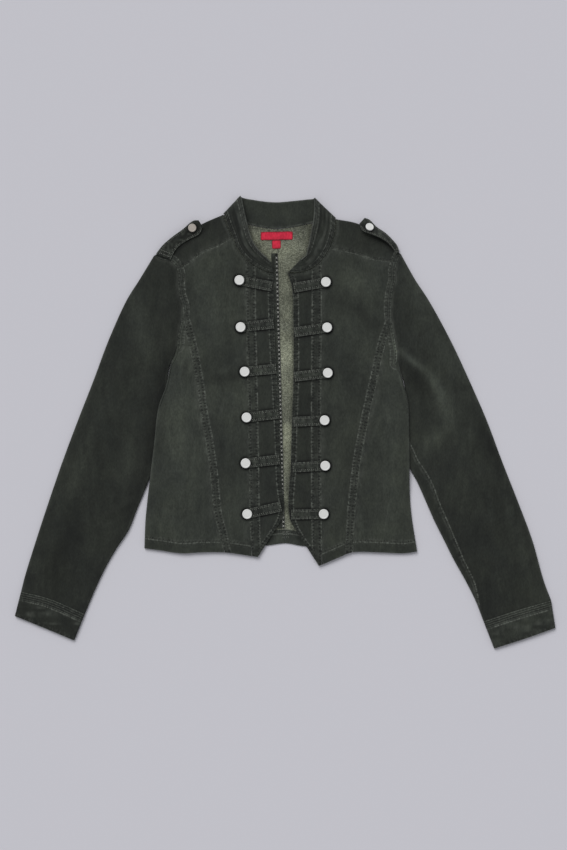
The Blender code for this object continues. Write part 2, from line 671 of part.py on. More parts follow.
def tube(name, grid, top, bottom, thickness, material):
    """A flattened tube whose two layers share one plan grid: rows along it, columns across it."""
    over = np.concatenate([grid, top[..., None]], axis=-1)
    under = np.concatenate([grid, bottom[..., None]], axis=-1)[:, -2:0:-1]
    ring = np.concatenate([over, under], axis=1)
    normals, flip = facing(ring, 1, wrap=True)
    last = grid.shape[1] - 1
    for j in (0, last):
        level = normals[:, j] * (1, 1, 0)
        normals[:, j] = level / np.linalg.norm(level, axis=1, keepdims=True)
    for i in (0, -1):
        normals[i, 1:last] = seam_normals(over[i], 1)[1:-1]
        normals[i, last + 1 :] = seam_normals(under[i], -1)
        normals[i, 0] = level_from(grid[i, 0], grid[i, 1])
        normals[i, last] = level_from(grid[i, last], grid[i, last - 1])
    wall(name, ring, normals, thickness, material, wrap=True, flip=flip)


def sleeve_and_cuff(name, materials):
    line = LINES[name]
    armhole, _, _ = armhole_points(name)
    below_arm = UNDERARM_STEPS / lengths(line["sleeve_inner"])[-1]
    stations = np.concatenate([below_arm, np.linspace(below_arm[-1], 1, SLEEVE_ROWS)[1:]])
    outer = at_shares(line["sleeve_outer"], stations)
    inner = at_shares(line["sleeve_inner"], stations)
    outer[0], inner[0] = armhole[0], armhole[-1]
    width = lengths(line["cuff_seam"])[-1]
    middle = np.linspace(ROLL, width - ROLL, len(armhole) - 6)
    across = np.concatenate([ROLL_STEPS[:3], middle, width - ROLL_STEPS[2::-1]]) / width
    cuff_line = at_shares(line["cuff_seam"], across)
    cuff_line[0], cuff_line[-1] = outer[-1], inner[-1]
    grid = coons(armhole, cuff_line, outer, inner)
    grid = turned_columns(turned_columns(grid, slice(1, -1)), slice(1, -1), at_end=True)
    grid = inset(grid, start=0, end=0)
    top, bottom = surfaces(grid, name, "sleeve")
    tube(f"sleeve_{name}", grid, top, bottom, CLOTH, materials["cloth"])

    ends = at_shares(line["cuff_end"], across)
    rows = np.linspace(0, 1, 5)[:, None, None]
    grid = inset(cuff_line[None] * (1 - rows) + ends[None] * rows, high=0, start=0, end=0)
    full = LOFT + fold_height(grid, FOLDS)
    from_edge = np.minimum(across, 1 - across) * width
    turn = np.sqrt(1 - (1 - np.clip(from_edge / ROLL, 0, 1)) ** 2)
    tube(f"cuff_{name}", grid, full / 2 * (1 + turn), full / 2 * (1 - turn), CUFF_CLOTH, materials["cloth"])


def collar_rows():
    """Points across the collar's middle at each station, round both folds."""
    across = np.array([0, 0.22, 0.48, 0.74, 1.0])

    def stations(table, steps):
        line = spline([tuple(s) for s in table], steps)
        reach = np.linalg.norm(line[:, 3:5] - line[:, :2], axis=1, keepdims=True)
        inward = (line[:, 3:5] - line[:, :2]) * (COLLAR_INSET / reach)
        share = across[None, :, None]
        plan = (line[:, None, :2] + inward[:, None]) * (1 - share) + line[:, None, 3:5] * share
        height = line[:, None, 2:3] + (line[:, None, 5:6] - line[:, None, 2:3]) * share**1.35
        return np.concatenate([plan, height], axis=-1)

    def fold(rim, low, high):
        """Rows on a half turn from the low station up to the high one, out to the rim at half height."""
        neck, free = (np.array(q, float) for q in rim)
        edge = neck + (free - neck) * across[:, None]
        rows = []
        for angle in np.radians([30, 60, 90, 120, 150]):
            blend = (1 - np.cos(angle)) / 2
            base = low * (1 - blend) + high * blend
            plan = base[:, :2] + (edge - base[:, :2]) * np.sin(angle)
            rows.append(np.concatenate([plan, base[:, 2:]], axis=1))
        return np.array(rows)

    right, back, left = stations(COLLAR_RIGHT_FRONT, 2), stations(COLLAR_BACK, 2), stations(COLLAR_LEFT_FRONT, 2)
    right_fold = fold(COLLAR_RIGHT_FOLD, back[0], right[-1])[::-1]
    left_fold = fold(COLLAR_LEFT_FOLD, back[-1], left[0])
    return np.concatenate([right, right_fold, back, left_fold, left])


def collar(materials):
    """The collar band: both fronts, the back and the two folds where it turns from one to the other."""
    middle = collar_rows()
    normals = grid_normals(middle, False)
    flip = normals[:5, :, 2].sum() < 0
    normals = -normals if flip else normals
    wall("collar", middle + normals * (DOUBLE / 2), normals, DOUBLE, materials["cloth"], flip=flip)


def tab(name, side, t, material):
    """A strap from the front edge, with a round end under its button."""
    edge, end = np.array([t.edge_x, t.edge_y], float), np.array([t.button_x, t.button_y], float)
    length = np.linalg.norm(end - edge)
    along = (end - edge) / length
    across = np.array([-along[1], along[0]])
    radius = TAB_WIDTH / 2
    round_steps = radius * np.sin(np.radians([30, 55, 75]))
    stops = np.concatenate([np.linspace(0.5, length, 5), length + round_steps])
    half = np.concatenate([np.full(5, radius), np.sqrt(radius**2 - round_steps**2)])
    plan = edge + along * stops[:, None, None] + across * (half[:, None, None] * np.array([-1, 0, 1])[None, :, None])
    outer = np.concatenate([plan, (flat_top(plan, side) + REST_GAP + TAB_CLOTH)[..., None]], axis=-1)
    _, flip = facing(outer, 1)
    upright = np.broadcast_to([0.0, 0.0, 1.0], outer.shape)
    wall(name, outer, upright, TAB_CLOTH, material, flip=flip)


def button(name, centre, normal, material):
    """A domed metal button with a raised rim, standing along its normal."""
    profile = [(5.0, 0.0), (8.1, 0.7), (BUTTON_RADIUS, 1.5), (8.0, 2.7), (7.0, 3.1), (6.2, 2.7), (3.0, 3.0)]
    side = np.cross([0, 1, 0], normal)
    side = side / np.linalg.norm(side)
    other = np.cross(normal, side)
    angles = np.linspace(0, 2 * np.pi, BUTTON_SIDES, endpoint=False)
    vertices = [centre]
    for r, z in profile:
        vertices += [centre + normal * z + side * (r * np.cos(a)) + other * (r * np.sin(a)) for a in angles]
    vertices.append(centre + normal * 3.1)
    faces = []
    n = BUTTON_SIDES
    for k in range(n):
        after = (k + 1) % n
        faces.append((0, 1 + after, 1 + k))
        for ring in range(len(profile) - 1):
            a, b = 1 + ring * n, 1 + (ring + 1) * n
            faces.append((a + k, a + after, b + after, b + k))
        last = 1 + (len(profile) - 1) * n
        faces.append((last + k, last + after, len(vertices) - 1))
    mesh_object(name, vertices, faces, material)


def tabs_and_buttons(name, materials):
    for k, t in enumerate(TABS[name], start=1):
        tab(f"tab_{name}_{k}", name, t, materials["cloth"])
        base = flat_top(np.array([[t.button_x, t.button_y]], float), name)[0] + 2 * REST_GAP + TAB_CLOTH
        upright = np.array([0.0, 0.0, 1.0])
        button(f"button_{name}_{k}", np.array([t.button_x, t.button_y, base]), upright, materials["metal"])


def epaulette(name, materials):
    """A shoulder strap sewn in at the armhole, with its button near the pointed end."""
    rows = []
    share = np.linspace(0, 1, 4)[:, None]
    for s in EPAULETTES[name]:
        plan = np.array([s.outer_x, s.outer_y]) * (1 - share) + np.array([s.inner_x, s.inner_y]) * share
        rise = s.outer_rise * (1 - share) + s.inner_rise * share + EPAULETTE_CROWN * np.sin(np.pi * share)
        rows.append(np.concatenate([plan, rise + flat_top(plan, name)[:, None] + REST_GAP + EPAULETTE_CLOTH], axis=1))
    top = np.array(rows)
    normals, flip = facing(top, 1)
    wall(f"epaulette_{name}", top, normals, EPAULETTE_CLOTH, materials["cloth"], flip=flip)

    # The button stands square on the strap where it is sewn on
    centre = np.array(EPAULETTE_BUTTONS[name], float)
    points, directions = top.reshape(-1, 3), normals.reshape(-1, 3)
    weight = 1 / (np.linalg.norm(points[:, :2] - centre, axis=1) + 2.0) ** 4
    normal = (directions * weight[:, None]).sum(0)
    normal /= np.linalg.norm(normal)
    anchor = (points * weight[:, None]).sum(0) / weight.sum()
    height = anchor[2] - ((centre - anchor[:2]) @ normal[:2]) / normal[2]
    base = np.append(centre, height) + normal * REST_GAP
    button(f"button_epaulette_{name}", base, normal, materials["metal"])


def label(name, size, material):
    """A flat woven label on the inside of the back."""
    x, y, width, height, thick = size
    share = np.array([-0.5, 0.5])
    plan = np.array([[(x + width * a, y + height * b) for a in share] for b in share])
    outer = np.concatenate([plan, np.full((2, 2, 1), CLOTH + REST_GAP + thick)], axis=-1)
    normals = np.broadcast_to([0.0, 0.0, 1.0], outer.shape)
    wall(name, outer, normals, thick, material)


def material(name, colour, roughness, metallic=0.0):
    made = bpy.data.materials.new(name)
    made.use_nodes = True
    shader = made.node_tree.nodes["Principled BSDF"]
    shader.inputs["Base Color"].default_value = (*colour, 1.0)
    shader.inputs["Roughness"].default_value = roughness
    shader.inputs["Metallic"].default_value = metallic
    return made


def build():
    for obj in list(bpy.data.objects):
        bpy.data.objects.remove(obj)
    materials = {
        "cloth": material("washed_twill", (0.031, 0.036, 0.029), 0.9),
        "inside": material("twill_inside", (0.092, 0.095, 0.072), 0.95),
        "metal": material("button_metal", (0.72, 0.72, 0.69), 0.35, 0.9),
        "label": material("label_red", (0.42, 0.012, 0.03), 0.7),
    }
    for name in SIDES:
        back_panel(name, materials)
        front_panels(name, materials)
        sleeve_and_cuff(name, materials)
        tabs_and_buttons(name, materials)
        epaulette(name, materials)
    collar(materials)
    label("label", LABEL, materials["label"])
    label("size_tab", SIZE_TAB, materials["label"])


build()
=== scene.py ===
"""The looks of a cropped military jacket, laid flat on a pale surface and seen from straight above.

Each cloth piece is a thin shell on the form of its solid, with the creases, seams and stitching that
the photograph shows. The tables are in millimetres, and the sides are the wearer's.
"""

from collections import namedtuple
from functools import partial
from math import pi, radians
import bpy
import numpy as np
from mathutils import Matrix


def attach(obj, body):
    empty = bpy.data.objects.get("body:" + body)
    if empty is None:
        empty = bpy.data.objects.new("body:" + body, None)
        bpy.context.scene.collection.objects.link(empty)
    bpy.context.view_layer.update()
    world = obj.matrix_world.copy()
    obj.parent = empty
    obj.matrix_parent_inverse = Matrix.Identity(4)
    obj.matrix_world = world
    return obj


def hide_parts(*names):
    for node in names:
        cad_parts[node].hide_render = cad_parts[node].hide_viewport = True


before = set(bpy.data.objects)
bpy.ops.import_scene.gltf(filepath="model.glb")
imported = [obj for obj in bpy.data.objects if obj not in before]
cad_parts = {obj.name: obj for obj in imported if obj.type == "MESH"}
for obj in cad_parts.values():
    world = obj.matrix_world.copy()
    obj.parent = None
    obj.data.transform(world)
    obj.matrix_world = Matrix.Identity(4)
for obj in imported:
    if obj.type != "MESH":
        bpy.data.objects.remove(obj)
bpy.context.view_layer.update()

MM = 0.001

# Cloth and gaps
CLOTH = 1.2  # one layer of washed cotton twill
DOUBLE = 2.2  # front band and collar, which are two layers with interfacing
HEM_CLOTH = 2.0  # the turned hem
CUFF_CLOTH = 1.9
TAB_CLOTH = 1.6
EPAULETTE_CLOTH = 1.8
PINCH = 0.4  # share of the thickness left where a seam pinches two layers to a point
PINCH_REACH = 9.0
SEAM_INSET = 0.18  # each piece stops this far from its seam line
COLLAR_INSET = 0.9  # and the collar this far from the neck seam
LAYER_INSET = 0.17  # half the gap where the top and bottom layers meet at an edge
REST_GAP = 0.4  # what lies on the cloth clears it by this much

# Loft of the laid cloth
LOFT = 5.0  # outer height of the two layers
ROLL = 2.7  # how far in from an edge the layer takes to turn round
LIFT = 4.4  # how far the body's side is raised by the sleeve tucked under it
LIFT_FULL_WIDTH = 14.0
LIFT_WIDTH = 60.0

# Details
HEM_DEPTH = 19.0
TAB_WIDTH = 16.0
BUTTON_RADIUS = 8.5

Side = namedtuple(
    "Side",
    "shoulder sleeve_outer sleeve_inner side armhole yoke_seam princess_seam band_seam "
    "neck_seam front_edge front_hem cuff_seam cuff_end lift_from lift_to",
)

# Each curve is a short list of (x, y) points. The wearer's right side is at -X.
SIDES = {
    "right": Side(
        shoulder=[(-98, 332), (-132, 317), (-170, 293), (-209, 266)],
        sleeve_outer=[
            (-209, 266), (-232, 228), (-252, 196), (-281, 132), (-305, 68), (-330, 4),
            (-354, -60), (-376, -124), (-397, -188), (-415, -246), (-421, -270),
        ],
        sleeve_inner=[
            (-171, 122), (-175.4, 107), (-183.4, 90), (-186.2, 77), (-188, 58), (-192, 25), (-197, -20),
            (-202, -50), (-209, -72), (-223, -108),
            (-236, -140), (-249, -172), (-270, -204), (-288, -236), (-303, -268), (-319, -306),
        ],
        side=[
            (-224, -201), (-222, -153), (-215, -92), (-208, -34), (-201, 25), (-189, 58), (-182, 90),
            (-174, 107), (-171, 122),
        ],
        armhole=[
            (-209, 266), (-195, 260), (-182, 257), (-173, 248), (-169.5, 236), (-170, 219),
            (-168, 203), (-163, 186), (-163.5, 168), (-169, 145), (-171, 122),
        ],
        yoke_seam=[(-172, 246), (-154, 254), (-138, 267), (-122, 276), (-105, 283), (-83, 296)],
        princess_seam=[
            (-96, -207.5), (-103, -176), (-111, -145), (-118, -76), (-125, -29), (-134, 20),
            (-141, 71), (-149, 115), (-156, 142), (-163.5, 168),
        ],
        band_seam=[
            (-52, -213.5), (-54, -150), (-55.5, -50), (-57, 36), (-59, 120), (-60.5, 200), (-60.5, 259.5),
        ],
        neck_seam=[
            (-98, 332), (-93, 319), (-83, 296), (-76, 278), (-60.5, 259.5), (-45, 249), (-31, 242),
            (-18, 239),
        ],
        front_edge=[
            (-42.5, -215), (-2, -151), (-4.5, -92), (-8, -4), (-11.5, 60), (-15, 119), (-17.5, 196),
            (-18, 239),
        ],
        front_hem=[
            (-224, -201), (-201, -204), (-164, -209), (-135, -207.5), (-96, -207.5), (-52, -213.5),
            (-42.5, -215),
        ],
        cuff_seam=[(-421, -270), (-377, -281), (-319, -306)],
        cuff_end=[(-431, -309), (-384, -328), (-336, -348)],
        lift_from=122,
        lift_to=-92,
    ),
    "left": Side(
        shoulder=[(82, 325), (119, 317), (155, 294), (186, 269)],
        sleeve_outer=[
            (186, 269), (209, 228), (230, 196), (265, 132), (295, 68), (323, 4),
            (347, -60), (372, -124), (396, -188), (414, -252), (426, -284),
        ],
        sleeve_inner=[
            (179, 95), (186.6, 77.8), (191.4, 62), (192.3, 50), (190.5, 30), (190, -30), (200, -72),
            (213, -97),
            (225, -124), (239, -156), (255, -188), (271, -220), (289, -252), (305, -284), (318, -317.5),
        ],
        side=[
            (212, -206), (203, -148), (200, -108), (199.5, -52), (198.2, 9), (197, 33), (191, 57),
            (185.2, 77.8), (179, 95),
        ],
        armhole=[
            (186, 269), (180, 256), (176.5, 242), (177, 228), (173, 212), (170.5, 191),
            (170.5, 175), (171.5, 159), (176, 135), (179.5, 113), (179, 95),
        ],
        yoke_seam=[(180, 256), (149, 259.5), (135, 262.5), (117, 269), (100, 273), (72, 278.5)],
        princess_seam=[
            (108, -207.5), (109, -181), (111, -145), (115, -106), (120, -63), (127, -25),
            (136, 20), (147, 68), (156, 110), (163.5, 138), (171.5, 159),
        ],
        band_seam=[(59, -227.5), (57.5, -150), (57, -50), (57, 36), (57.5, 120), (58, 200), (58, 258)],
        neck_seam=[(82, 325), (80.5, 303), (72, 278.5), (58, 258), (43, 246), (25, 240), (5, 239.5)],
        front_edge=[
            (55, -229), (9.5, -158), (10, -68), (12, 4), (14, 60), (14.3, 164), (12.5, 213), (5, 239.5),
        ],
        front_hem=[
            (212, -206), (190, -209), (153, -207.5), (108, -207.5), (86, -216), (59, -227.5), (55, -229),
        ],
        cuff_seam=[(426, -284), (368, -301), (318, -317.5)],
        cuff_end=[(433, -328), (385, -345), (335, -361)],
        lift_from=95,
        lift_to=-75,
    ),
}
NECK_BACK = [(-98, 332), (-61, 317.5), (-12, 309.5), (44, 318.5), (82, 325)]
CENTRE_BACK = [(1, -193), (-5, 50), (-12, 309.5)]
BACK_HEM = [
    (-224, -201), (-164, -203), (-100, -201), (-28, -196.5), (1, -193), (30, -197.5), (100, -203),
    (160, -205), (212, -206),
]

# Soft folds of the top layer: a ridge, or a trough where height is negative, along each line.
Fold = namedtuple("Fold", "x0 y0 x1 y1 half_width height")
FOLDS = [
    Fold(-2, 250, 4, -170, 34, -1.2),  # the front edges lie lower than the chest
    Fold(-98, 325, -80, 270, 26, 1.1),
    Fold(82, 320, 72, 270, 26, 1.1),
    Fold(-140, 215, -120, 110, 16, 1.3),  # wearer's right chest
    Fold(-176, 60, -188, -60, 12, 1.2),  # wearer's right side panel
    Fold(-118, -118, -150, -166, 9, -1.3),
    Fold(-90, -110, -80, -190, 13, 1.0),
    Fold(120, 215, 108, 90, 18, 1.2),  # wearer's left chest
    Fold(176, 40, 182, -40, 10, 1.4),  # wearer's left side panel
    Fold(130, -100, 164, -146, 6, -1.7),
    Fold(150, -92, 188, -150, 8, 1.3),
    Fold(84, -120, 76, -196, 12, 0.9),
    Fold(-186, 244, -184, 160, 8, 1.8),  # wearer's right sleeve head
    Fold(-199, 214, -196, 134, 8, -1.5),
    Fold(-225, 190, -250, 90, 15, 1.6),
    Fold(-300, 20, -352, -130, 18, 1.5),
    Fold(-262, -20, -300, -150, 12, -1.1),
    Fold(-245, -128, -285, -150, 6, 1.6),
    Fold(-360, -160, -392, -240, 14, 1.4),
    Fold(188, 110, 258, -14, 9, 2.6),  # wearer's left sleeve, from the underarm
    Fold(203, 60, 226, 4, 8, -1.6),
    Fold(190, 226, 172, 206, 4, -1.4),
    Fold(222, 170, 262, 70, 15, 1.5),
    Fold(300, 40, 360, -180, 18, -1.2),
    Fold(262, -60, 330, -220, 16, 1.5),
    Fold(372, -180, 398, -250, 12, 1.2),
    Fold(-418, -290, -336, -326, 24, 1.3),  # cuffs, of double cloth
    Fold(424, -306, 332, -340, 24, 1.3),
]
# The sleeve is pressed flat where the body lies on it.
PRESSED = [
    Fold(-190, 60, -206, -70, 20, -1.3),
    Fold(192, 30, 196, -52, 20, -1.3),
]

# The standing collar: middle of the band at the neck seam, and at its free edge
COLLAR_DEPTH = 42
CollarStation = namedtuple("CollarStation", "neck_x neck_y neck_z free_x free_y free_z")
COLLAR_RIGHT_FRONT = [
    CollarStation(-18, 239, 4.4, -22.5, 255, 17),
    CollarStation(-31, 242, 4.8, -29, 262, 19),
    CollarStation(-45, 249, 5.1, -38, 270, 20),
    CollarStation(-60.5, 259.5, 5.3, -48, 283, 21),
    CollarStation(-76, 278, 5.5, -55, 298, 20),
    CollarStation(-83, 296, 5.6, -59, 312, 18),
    CollarStation(-91, 314, 5.6, -65, 340, 14),
]
COLLAR_BACK = [
    CollarStation(-84, 326, 1.15, -60, 357.5, 1.15),
    CollarStation(-61, 317.5, 1.15, -45, 355, 1.15),
    CollarStation(-36, 311.5, 1.15, -28, 352.8, 1.15),
    CollarStation(-12, 309.5, 1.15, -12, 352, 1.15),
    CollarStation(17, 312.5, 1.15, 7, 353.4, 1.15),
    CollarStation(44, 318.5, 1.15, 28, 355.5, 1.15),
    CollarStation(70, 323.2, 1.15, 40, 356.8, 1.15),
]
COLLAR_LEFT_FRONT = [
    CollarStation(81.3, 312, 5.6, 47.8, 341, 13),
    CollarStation(80.5, 303, 5.6, 46.5, 325, 16),
    CollarStation(72, 278.5, 5.5, 42, 300, 18),
    CollarStation(58, 258, 5.3, 39, 283, 18),
    CollarStation(43, 246, 5.1, 36.5, 273, 17),
    CollarStation(25, 240, 4.8, 34.5, 266, 15),
    CollarStation(5, 239.5, 4.4, 27, 260, 13),
]
COLLAR_RIGHT_FOLD = ((-97, 333), (-70, 361))
COLLAR_LEFT_FOLD = ((81.5, 326), (47.5, 358))

# Each tab runs from the front edge to its button.
Tab = namedtuple("Tab", "edge_x edge_y button_x button_y")
TABS = {
    "right": [
        Tab(-19.5, 217, -72, 227),
        Tab(-17, 158, -70, 152),
        Tab(-13, 86, -63.5, 81),
        Tab(-9, 14, -60.5, 8),
        Tab(-7.5, -59, -62, -65),
        Tab(-5, -134, -59.5, -146),
    ],
    "left": [
        Tab(14.5, 215, 66, 224),
        Tab(15.5, 144, 68, 151.5),
        Tab(15.5, 73, 69, 79),
        Tab(14, 1, 64, 3.5),
        Tab(12.5, -72, 65, -69),
        Tab(10.5, -147, 62.5, -146),
    ],
}

# Epaulettes, from the armhole to the pointed end: the two long edges, and how far each lifts off the cloth.
# The wearer's left one sags a few millimetres below its solid.
Strap = namedtuple("Strap", "outer_x outer_y outer_rise inner_x inner_y inner_rise")
EPAULETTES = {
    "right": [
        Strap(-205, 269, 0, -182, 260, 0),
        Strap(-195, 282, 0.8, -175, 274, 0.3),
        Strap(-181, 294.5, 1.4, -167, 283, 0.8),
        Strap(-162, 308.5, 1.6, -151, 293, 1.0),
        Strap(-146, 321.5, 1.4, -136, 301, 1.0),
        Strap(-137, 322.5, 1.2, -130.5, 312, 1.0),
    ],
    "left": [
        Strap(183.5, 272.5, 0, 178.5, 268.5, 0),
        Strap(179.5, 283, -0.9, 173, 277.5, 2.5),
        Strap(171, 293.5, -1.5, 164, 287, 5.5),
        Strap(161, 303, -1.9, 152, 294.5, 8.0),
        Strap(147, 312.5, -1.7, 136.5, 300.5, 8.4),
        Strap(136, 323.5, -1.2, 124, 306, 6.6),
        Strap(128, 326.5, 0.5, 119.5, 317, 4.2),
    ],
}
EPAULETTE_CROWN = 0.8
EPAULETTE_BUTTONS = {"right": (-147, 310), "left": (135, 310.5)}

# Woven labels on the inside of the back
LABEL = (-12.5, 298.5, 51.0, 13.0, 0.8)  # centre x and y, width, height, thickness
SIZE_TAB = (-13, 284.0, 14.0, 12.0, 0.8)
LABEL_CORNER = 1.6  # radius


def spline(points, steps=12):
    """A smooth dense line through the points, by centripetal Catmull-Rom."""
    p = np.array(points, float)
    if len(p) < 3:
        t = np.linspace(0, 1, steps + 1)[:, None]
        return p[0] * (1 - t) + p[-1] * t
    p = np.vstack([2 * p[0] - p[1], p, 2 * p[-1] - p[-2]])
    out = []
    for a, b, c, d in zip(p[:-3], p[1:-2], p[2:-1], p[3:]):
        ta = 0.0
        tb = ta + np.linalg.norm(b - a) ** 0.5
        tc = tb + np.linalg.norm(c - b) ** 0.5
        td = tc + np.linalg.norm(d - c) ** 0.5
        t = np.linspace(tb, tc, steps, endpoint=False)[:, None]
        ab = (tb - t) / (tb - ta) * a + (t - ta) / (tb - ta) * b
        bc = (tc - t) / (tc - tb) * b + (t - tb) / (tc - tb) * c
        cd = (td - t) / (td - tc) * c + (t - tc) / (td - tc) * d
        abc = (tc - t) / (tc - ta) * ab + (t - ta) / (tc - ta) * bc
        bcd = (td - t) / (td - tb) * bc + (t - tb) / (td - tb) * cd
        out.append((tc - t) / (tc - tb) * abc + (t - tb) / (tc - tb) * bcd)
    out.append(p[-2][None])
    return np.vstack(out)


def lengths(line):
    """Distance along the line at each of its points."""
    return np.concatenate([[0], np.cumsum(np.linalg.norm(np.diff(line, axis=0), axis=1))])


def at(line, distances):
    """Points of the line at these distances along it."""
    s = lengths(line)
    return np.stack([np.interp(distances, s, line[:, k]) for k in range(line.shape[1])], axis=1)


def shares(line):
    """Distance along the line at each point, as a share of its length."""
    s = lengths(line)
    return s / s[-1]


def unit(vectors):
    return vectors / np.maximum(np.linalg.norm(vectors, axis=-1, keepdims=True), 1e-9)


def raised(plan, height):
    """Plan points with their heights."""
    return np.concatenate([plan, height[..., None]], axis=-1)


def crossed(across, along):
    """Pairs of coordinates from the two, spread over each other's shape."""
    return np.stack(np.broadcast_arrays(across, along), axis=-1)


def upright(points):
    return np.broadcast_to([0.0, 0.0, 1.0], points.shape)


def cut(line, start, end):
    """The stretch of a dense line between the points nearest to start and end."""
    s = lengths(line)
    near = [s[np.argmin(np.linalg.norm(line - np.array(q, float), axis=1))] for q in (start, end)]
    inside = s[(s > min(near) + 0.1) & (s < max(near) - 0.1)]
    stops = np.concatenate([[min(near)], inside, [max(near)]])
    part = at(line, stops)
    return part if near[0] <= near[1] else part[::-1]


def join(*lines):
    """Lines end to end, each sharing its first point with the last one's end."""
    return np.vstack([lines[0]] + [line[1:] for line in lines[1:]])


def distance_to(points, line):
    """Distance in plan from each point to the line."""
    flat = points.reshape(-1, 2)
    best = np.full(len(flat), 1e9)
    for a, b in zip(line[:-1], line[1:]):
        ab = b - a
        t = np.clip(((flat - a) @ ab) / max(ab @ ab, 1e-9), 0, 1)
        step = flat - a - t[:, None] * ab
        best = np.minimum(best, (step * step).sum(1))
    return np.sqrt(best).reshape(points.shape[:-1])


def smooth(t):
    t = np.clip(t, 0, 1)
    return t * t * (3 - 2 * t)


def bell(distance, width):
    """1 at no distance, falling off smoothly over the width."""
    return np.exp(-((distance / width) ** 2))


def fold_height(points, folds):
    """Sum of the soft ridges and troughs at each point."""
    total = np.zeros(points.shape[:-1])
    for f in folds:
        line = np.array([(f.x0, f.y0), (f.x1, f.y1)], float)
        total += f.height * bell(distance_to(points, line), f.half_width)
    return total


CURVES = Side._fields[:13]
LINES = {name: {key: spline(getattr(side, key)) for key in CURVES} for name, side in SIDES.items()}


# Fineness of the shells, in millimetres between points
BODY_STEP = 1.85
SLEEVE_STEP = 3.1
BACK_STEP = 4.0
COLLAR_STEP = 1.6
EDGE_STEPS = 6  # points in the turn of an edge

rng = np.random.default_rng(7)
LATTICE = rng.random((6, 256, 256)) * 2 - 1


def noise(points, scale, layer=0, stretch=(1.0, 1.0)):
    """Smooth random field from -1 to 1 with this many millimetres between its bumps."""
    x = points[..., 0] / (scale * stretch[0]) + 31.7 * (layer + 1)
    y = points[..., 1] / (scale * stretch[1]) + 17.3 * (layer + 1)
    i, j = np.floor(x).astype(int), np.floor(y).astype(int)
    fx, fy = smooth(x - i), smooth(y - j)
    field = LATTICE[layer % 6]
    a, b = field[i % 256, j % 256], field[(i + 1) % 256, j % 256]
    c, d = field[i % 256, (j + 1) % 256], field[(i + 1) % 256, (j + 1) % 256]
    return (a * (1 - fx) + b * fx) * (1 - fy) + (c * (1 - fx) + d * fx) * fy


def near(points, line, reach):
    """Distance to the line for the points within reach of its box, and reach elsewhere."""
    low, high = line.min(0) - reach, line.max(0) + reach
    inside = ((points >= low) & (points <= high)).all(-1)
    out = np.full(points.shape[:-1], float(reach))
    if inside.any():
        out[inside] = np.minimum(distance_to(points[inside], line), reach)
    return out


# Creases of the dressed cloth, finer than the solids': ridges, or troughs where height is negative
CREASES = [
    Fold(-98, 322, -70, 250, 7, 0.5),
    Fold(80, 318, 64, 262, 7, 0.5),
    Fold(-150, 60, -62, 74, 9, -0.8),
    Fold(-148, 42, -70, 50, 12, 0.5),
    Fold(-196, -20, -160, -90, 10, 0.6),
    Fold(-120, -60, -88, -120, 12, 0.5),
    Fold(-110, -150, -70, -205, 8, -0.4),
    Fold(70, 190, 165, 130, 11, -0.7),
    Fold(76, 160, 150, 96, 12, 0.6),
    Fold(176, 70, 160, -40, 8, 0.7),
    Fold(190, 20, 182, -110, 8, 0.6),
    Fold(168, -60, 196, -170, 10, -0.6),
    Fold(150, -80, 132, -180, 12, 0.5),
]
SLEEVE_CREASES = [
    Fold(186, 108, 218, 84, 8, 1.4),
    Fold(214, 86, 252, 30, 12, 1.2),
    Fold(252, 30, 262, -30, 14, 0.8),
    Fold(206, 60, 236, 20, 14, -1.0),
    Fold(230, -30, 205, -34, 9, 0.6),
    Fold(300, 40, 352, -80, 14, -0.6),
    Fold(206, 240, 240, 150, 14, 0.5),
    Fold(-226, 190, -232, 100, 12, 0.8),
    Fold(-256, 14, -244, -92, 8, 0.8),
    Fold(-228, -14, -264, -112, 7, -0.7),
    Fold(-214, -40, -232, -96, 6, 0.6),
    Fold(-196, 80, -216, 20, 10, -0.9),
    Fold(-330, -120, -352, -190, 12, 0.5),
    Fold(-384, -214, -350, -262, 10, -0.6),
    Fold(-396, -230, -372, -280, 8, 0.5),
    Fold(360, -150, 392, -250, 13, 0.5),
    Fold(330, -200, 346, -280, 10, -0.5),
]

Shade = namedtuple("Shade", "x y half_length half_width turn amount")
BODY_DYE_AND_PAINTED_LIGHT = [  # soft paler and darker places: patches of the washed dye, and painted light and shade along the folds and creases; amount doubles or halves it at 1 or -1
    Shade(-166, -28, 140, 26, 95, 0.42),
    Shade(-122, 183, 70, 24, 95, 0.42),
    Shade(-93, 71, 50, 8, 8, -0.35),
    Shade(-94, 33, 45, 22, 0, 0.28),
    Shade(-77, -124, 40, 22, 90, 0.2),
    Shade(128, 212, 45, 28, -30, 0.3),
    Shade(109, 124, 50, 25, -40, 0.25),
    Shade(131, 167, 55, 9, -35, -0.3),
    Shade(172, -36, 130, 24, 88, 0.25),
    Shade(109, -92, 60, 16, 80, -0.15),
    # painted highlight on the crease along the wearer's left underarm
    Shade(180, 108, 38, 3.5, -80, 1.9),
    Shade(-177, 258, 12, 4, -60, 1.3),
    Shade(182, 262, 12, 4, 60, 1.0),
]
# patches of washed dye on the sleeves, with painted light on crease ridges and painted shade in hollows and
# under the arms
SLEEVE_DYE_AND_PAINTED_LIGHT = [
    Shade(-227, 148, 70, 16, 98, 0.4),
    Shade(-179, 87, 60, 14, 68, -0.7),
    Shade(-211, -28, 90, 12, 73, -0.5),
    Shade(-250, -52, 50, 7, 80, 0.3),
    Shade(-322, -60, 150, 9, 68, 0.25),
    Shade(-358, -220, 70, 14, 80, -0.3),
    Shade(222, 62, 34, 15, -55, -0.6),
    Shade(204, 98, 26, 6, -38, 1.0),
    Shade(236, 66, 26, 9, -52, 0.7),
    Shade(254, 28, 40, 14, -66, 0.7),
    Shade(240, -26, 34, 16, -130, 0.5),
    Shade(262, 110, 70, 22, -58, 0.3),
    Shade(290, 60, 80, 18, -58, 0.3),
    Shade(318, -8, 110, 13, -64, -0.5),
    Shade(346, -140, 80, 14, -72, -0.25),
    Shade(210, 212, 50, 18, -60, 0.35),
    Shade(380, -210, 70, 12, -70, 0.3),
]


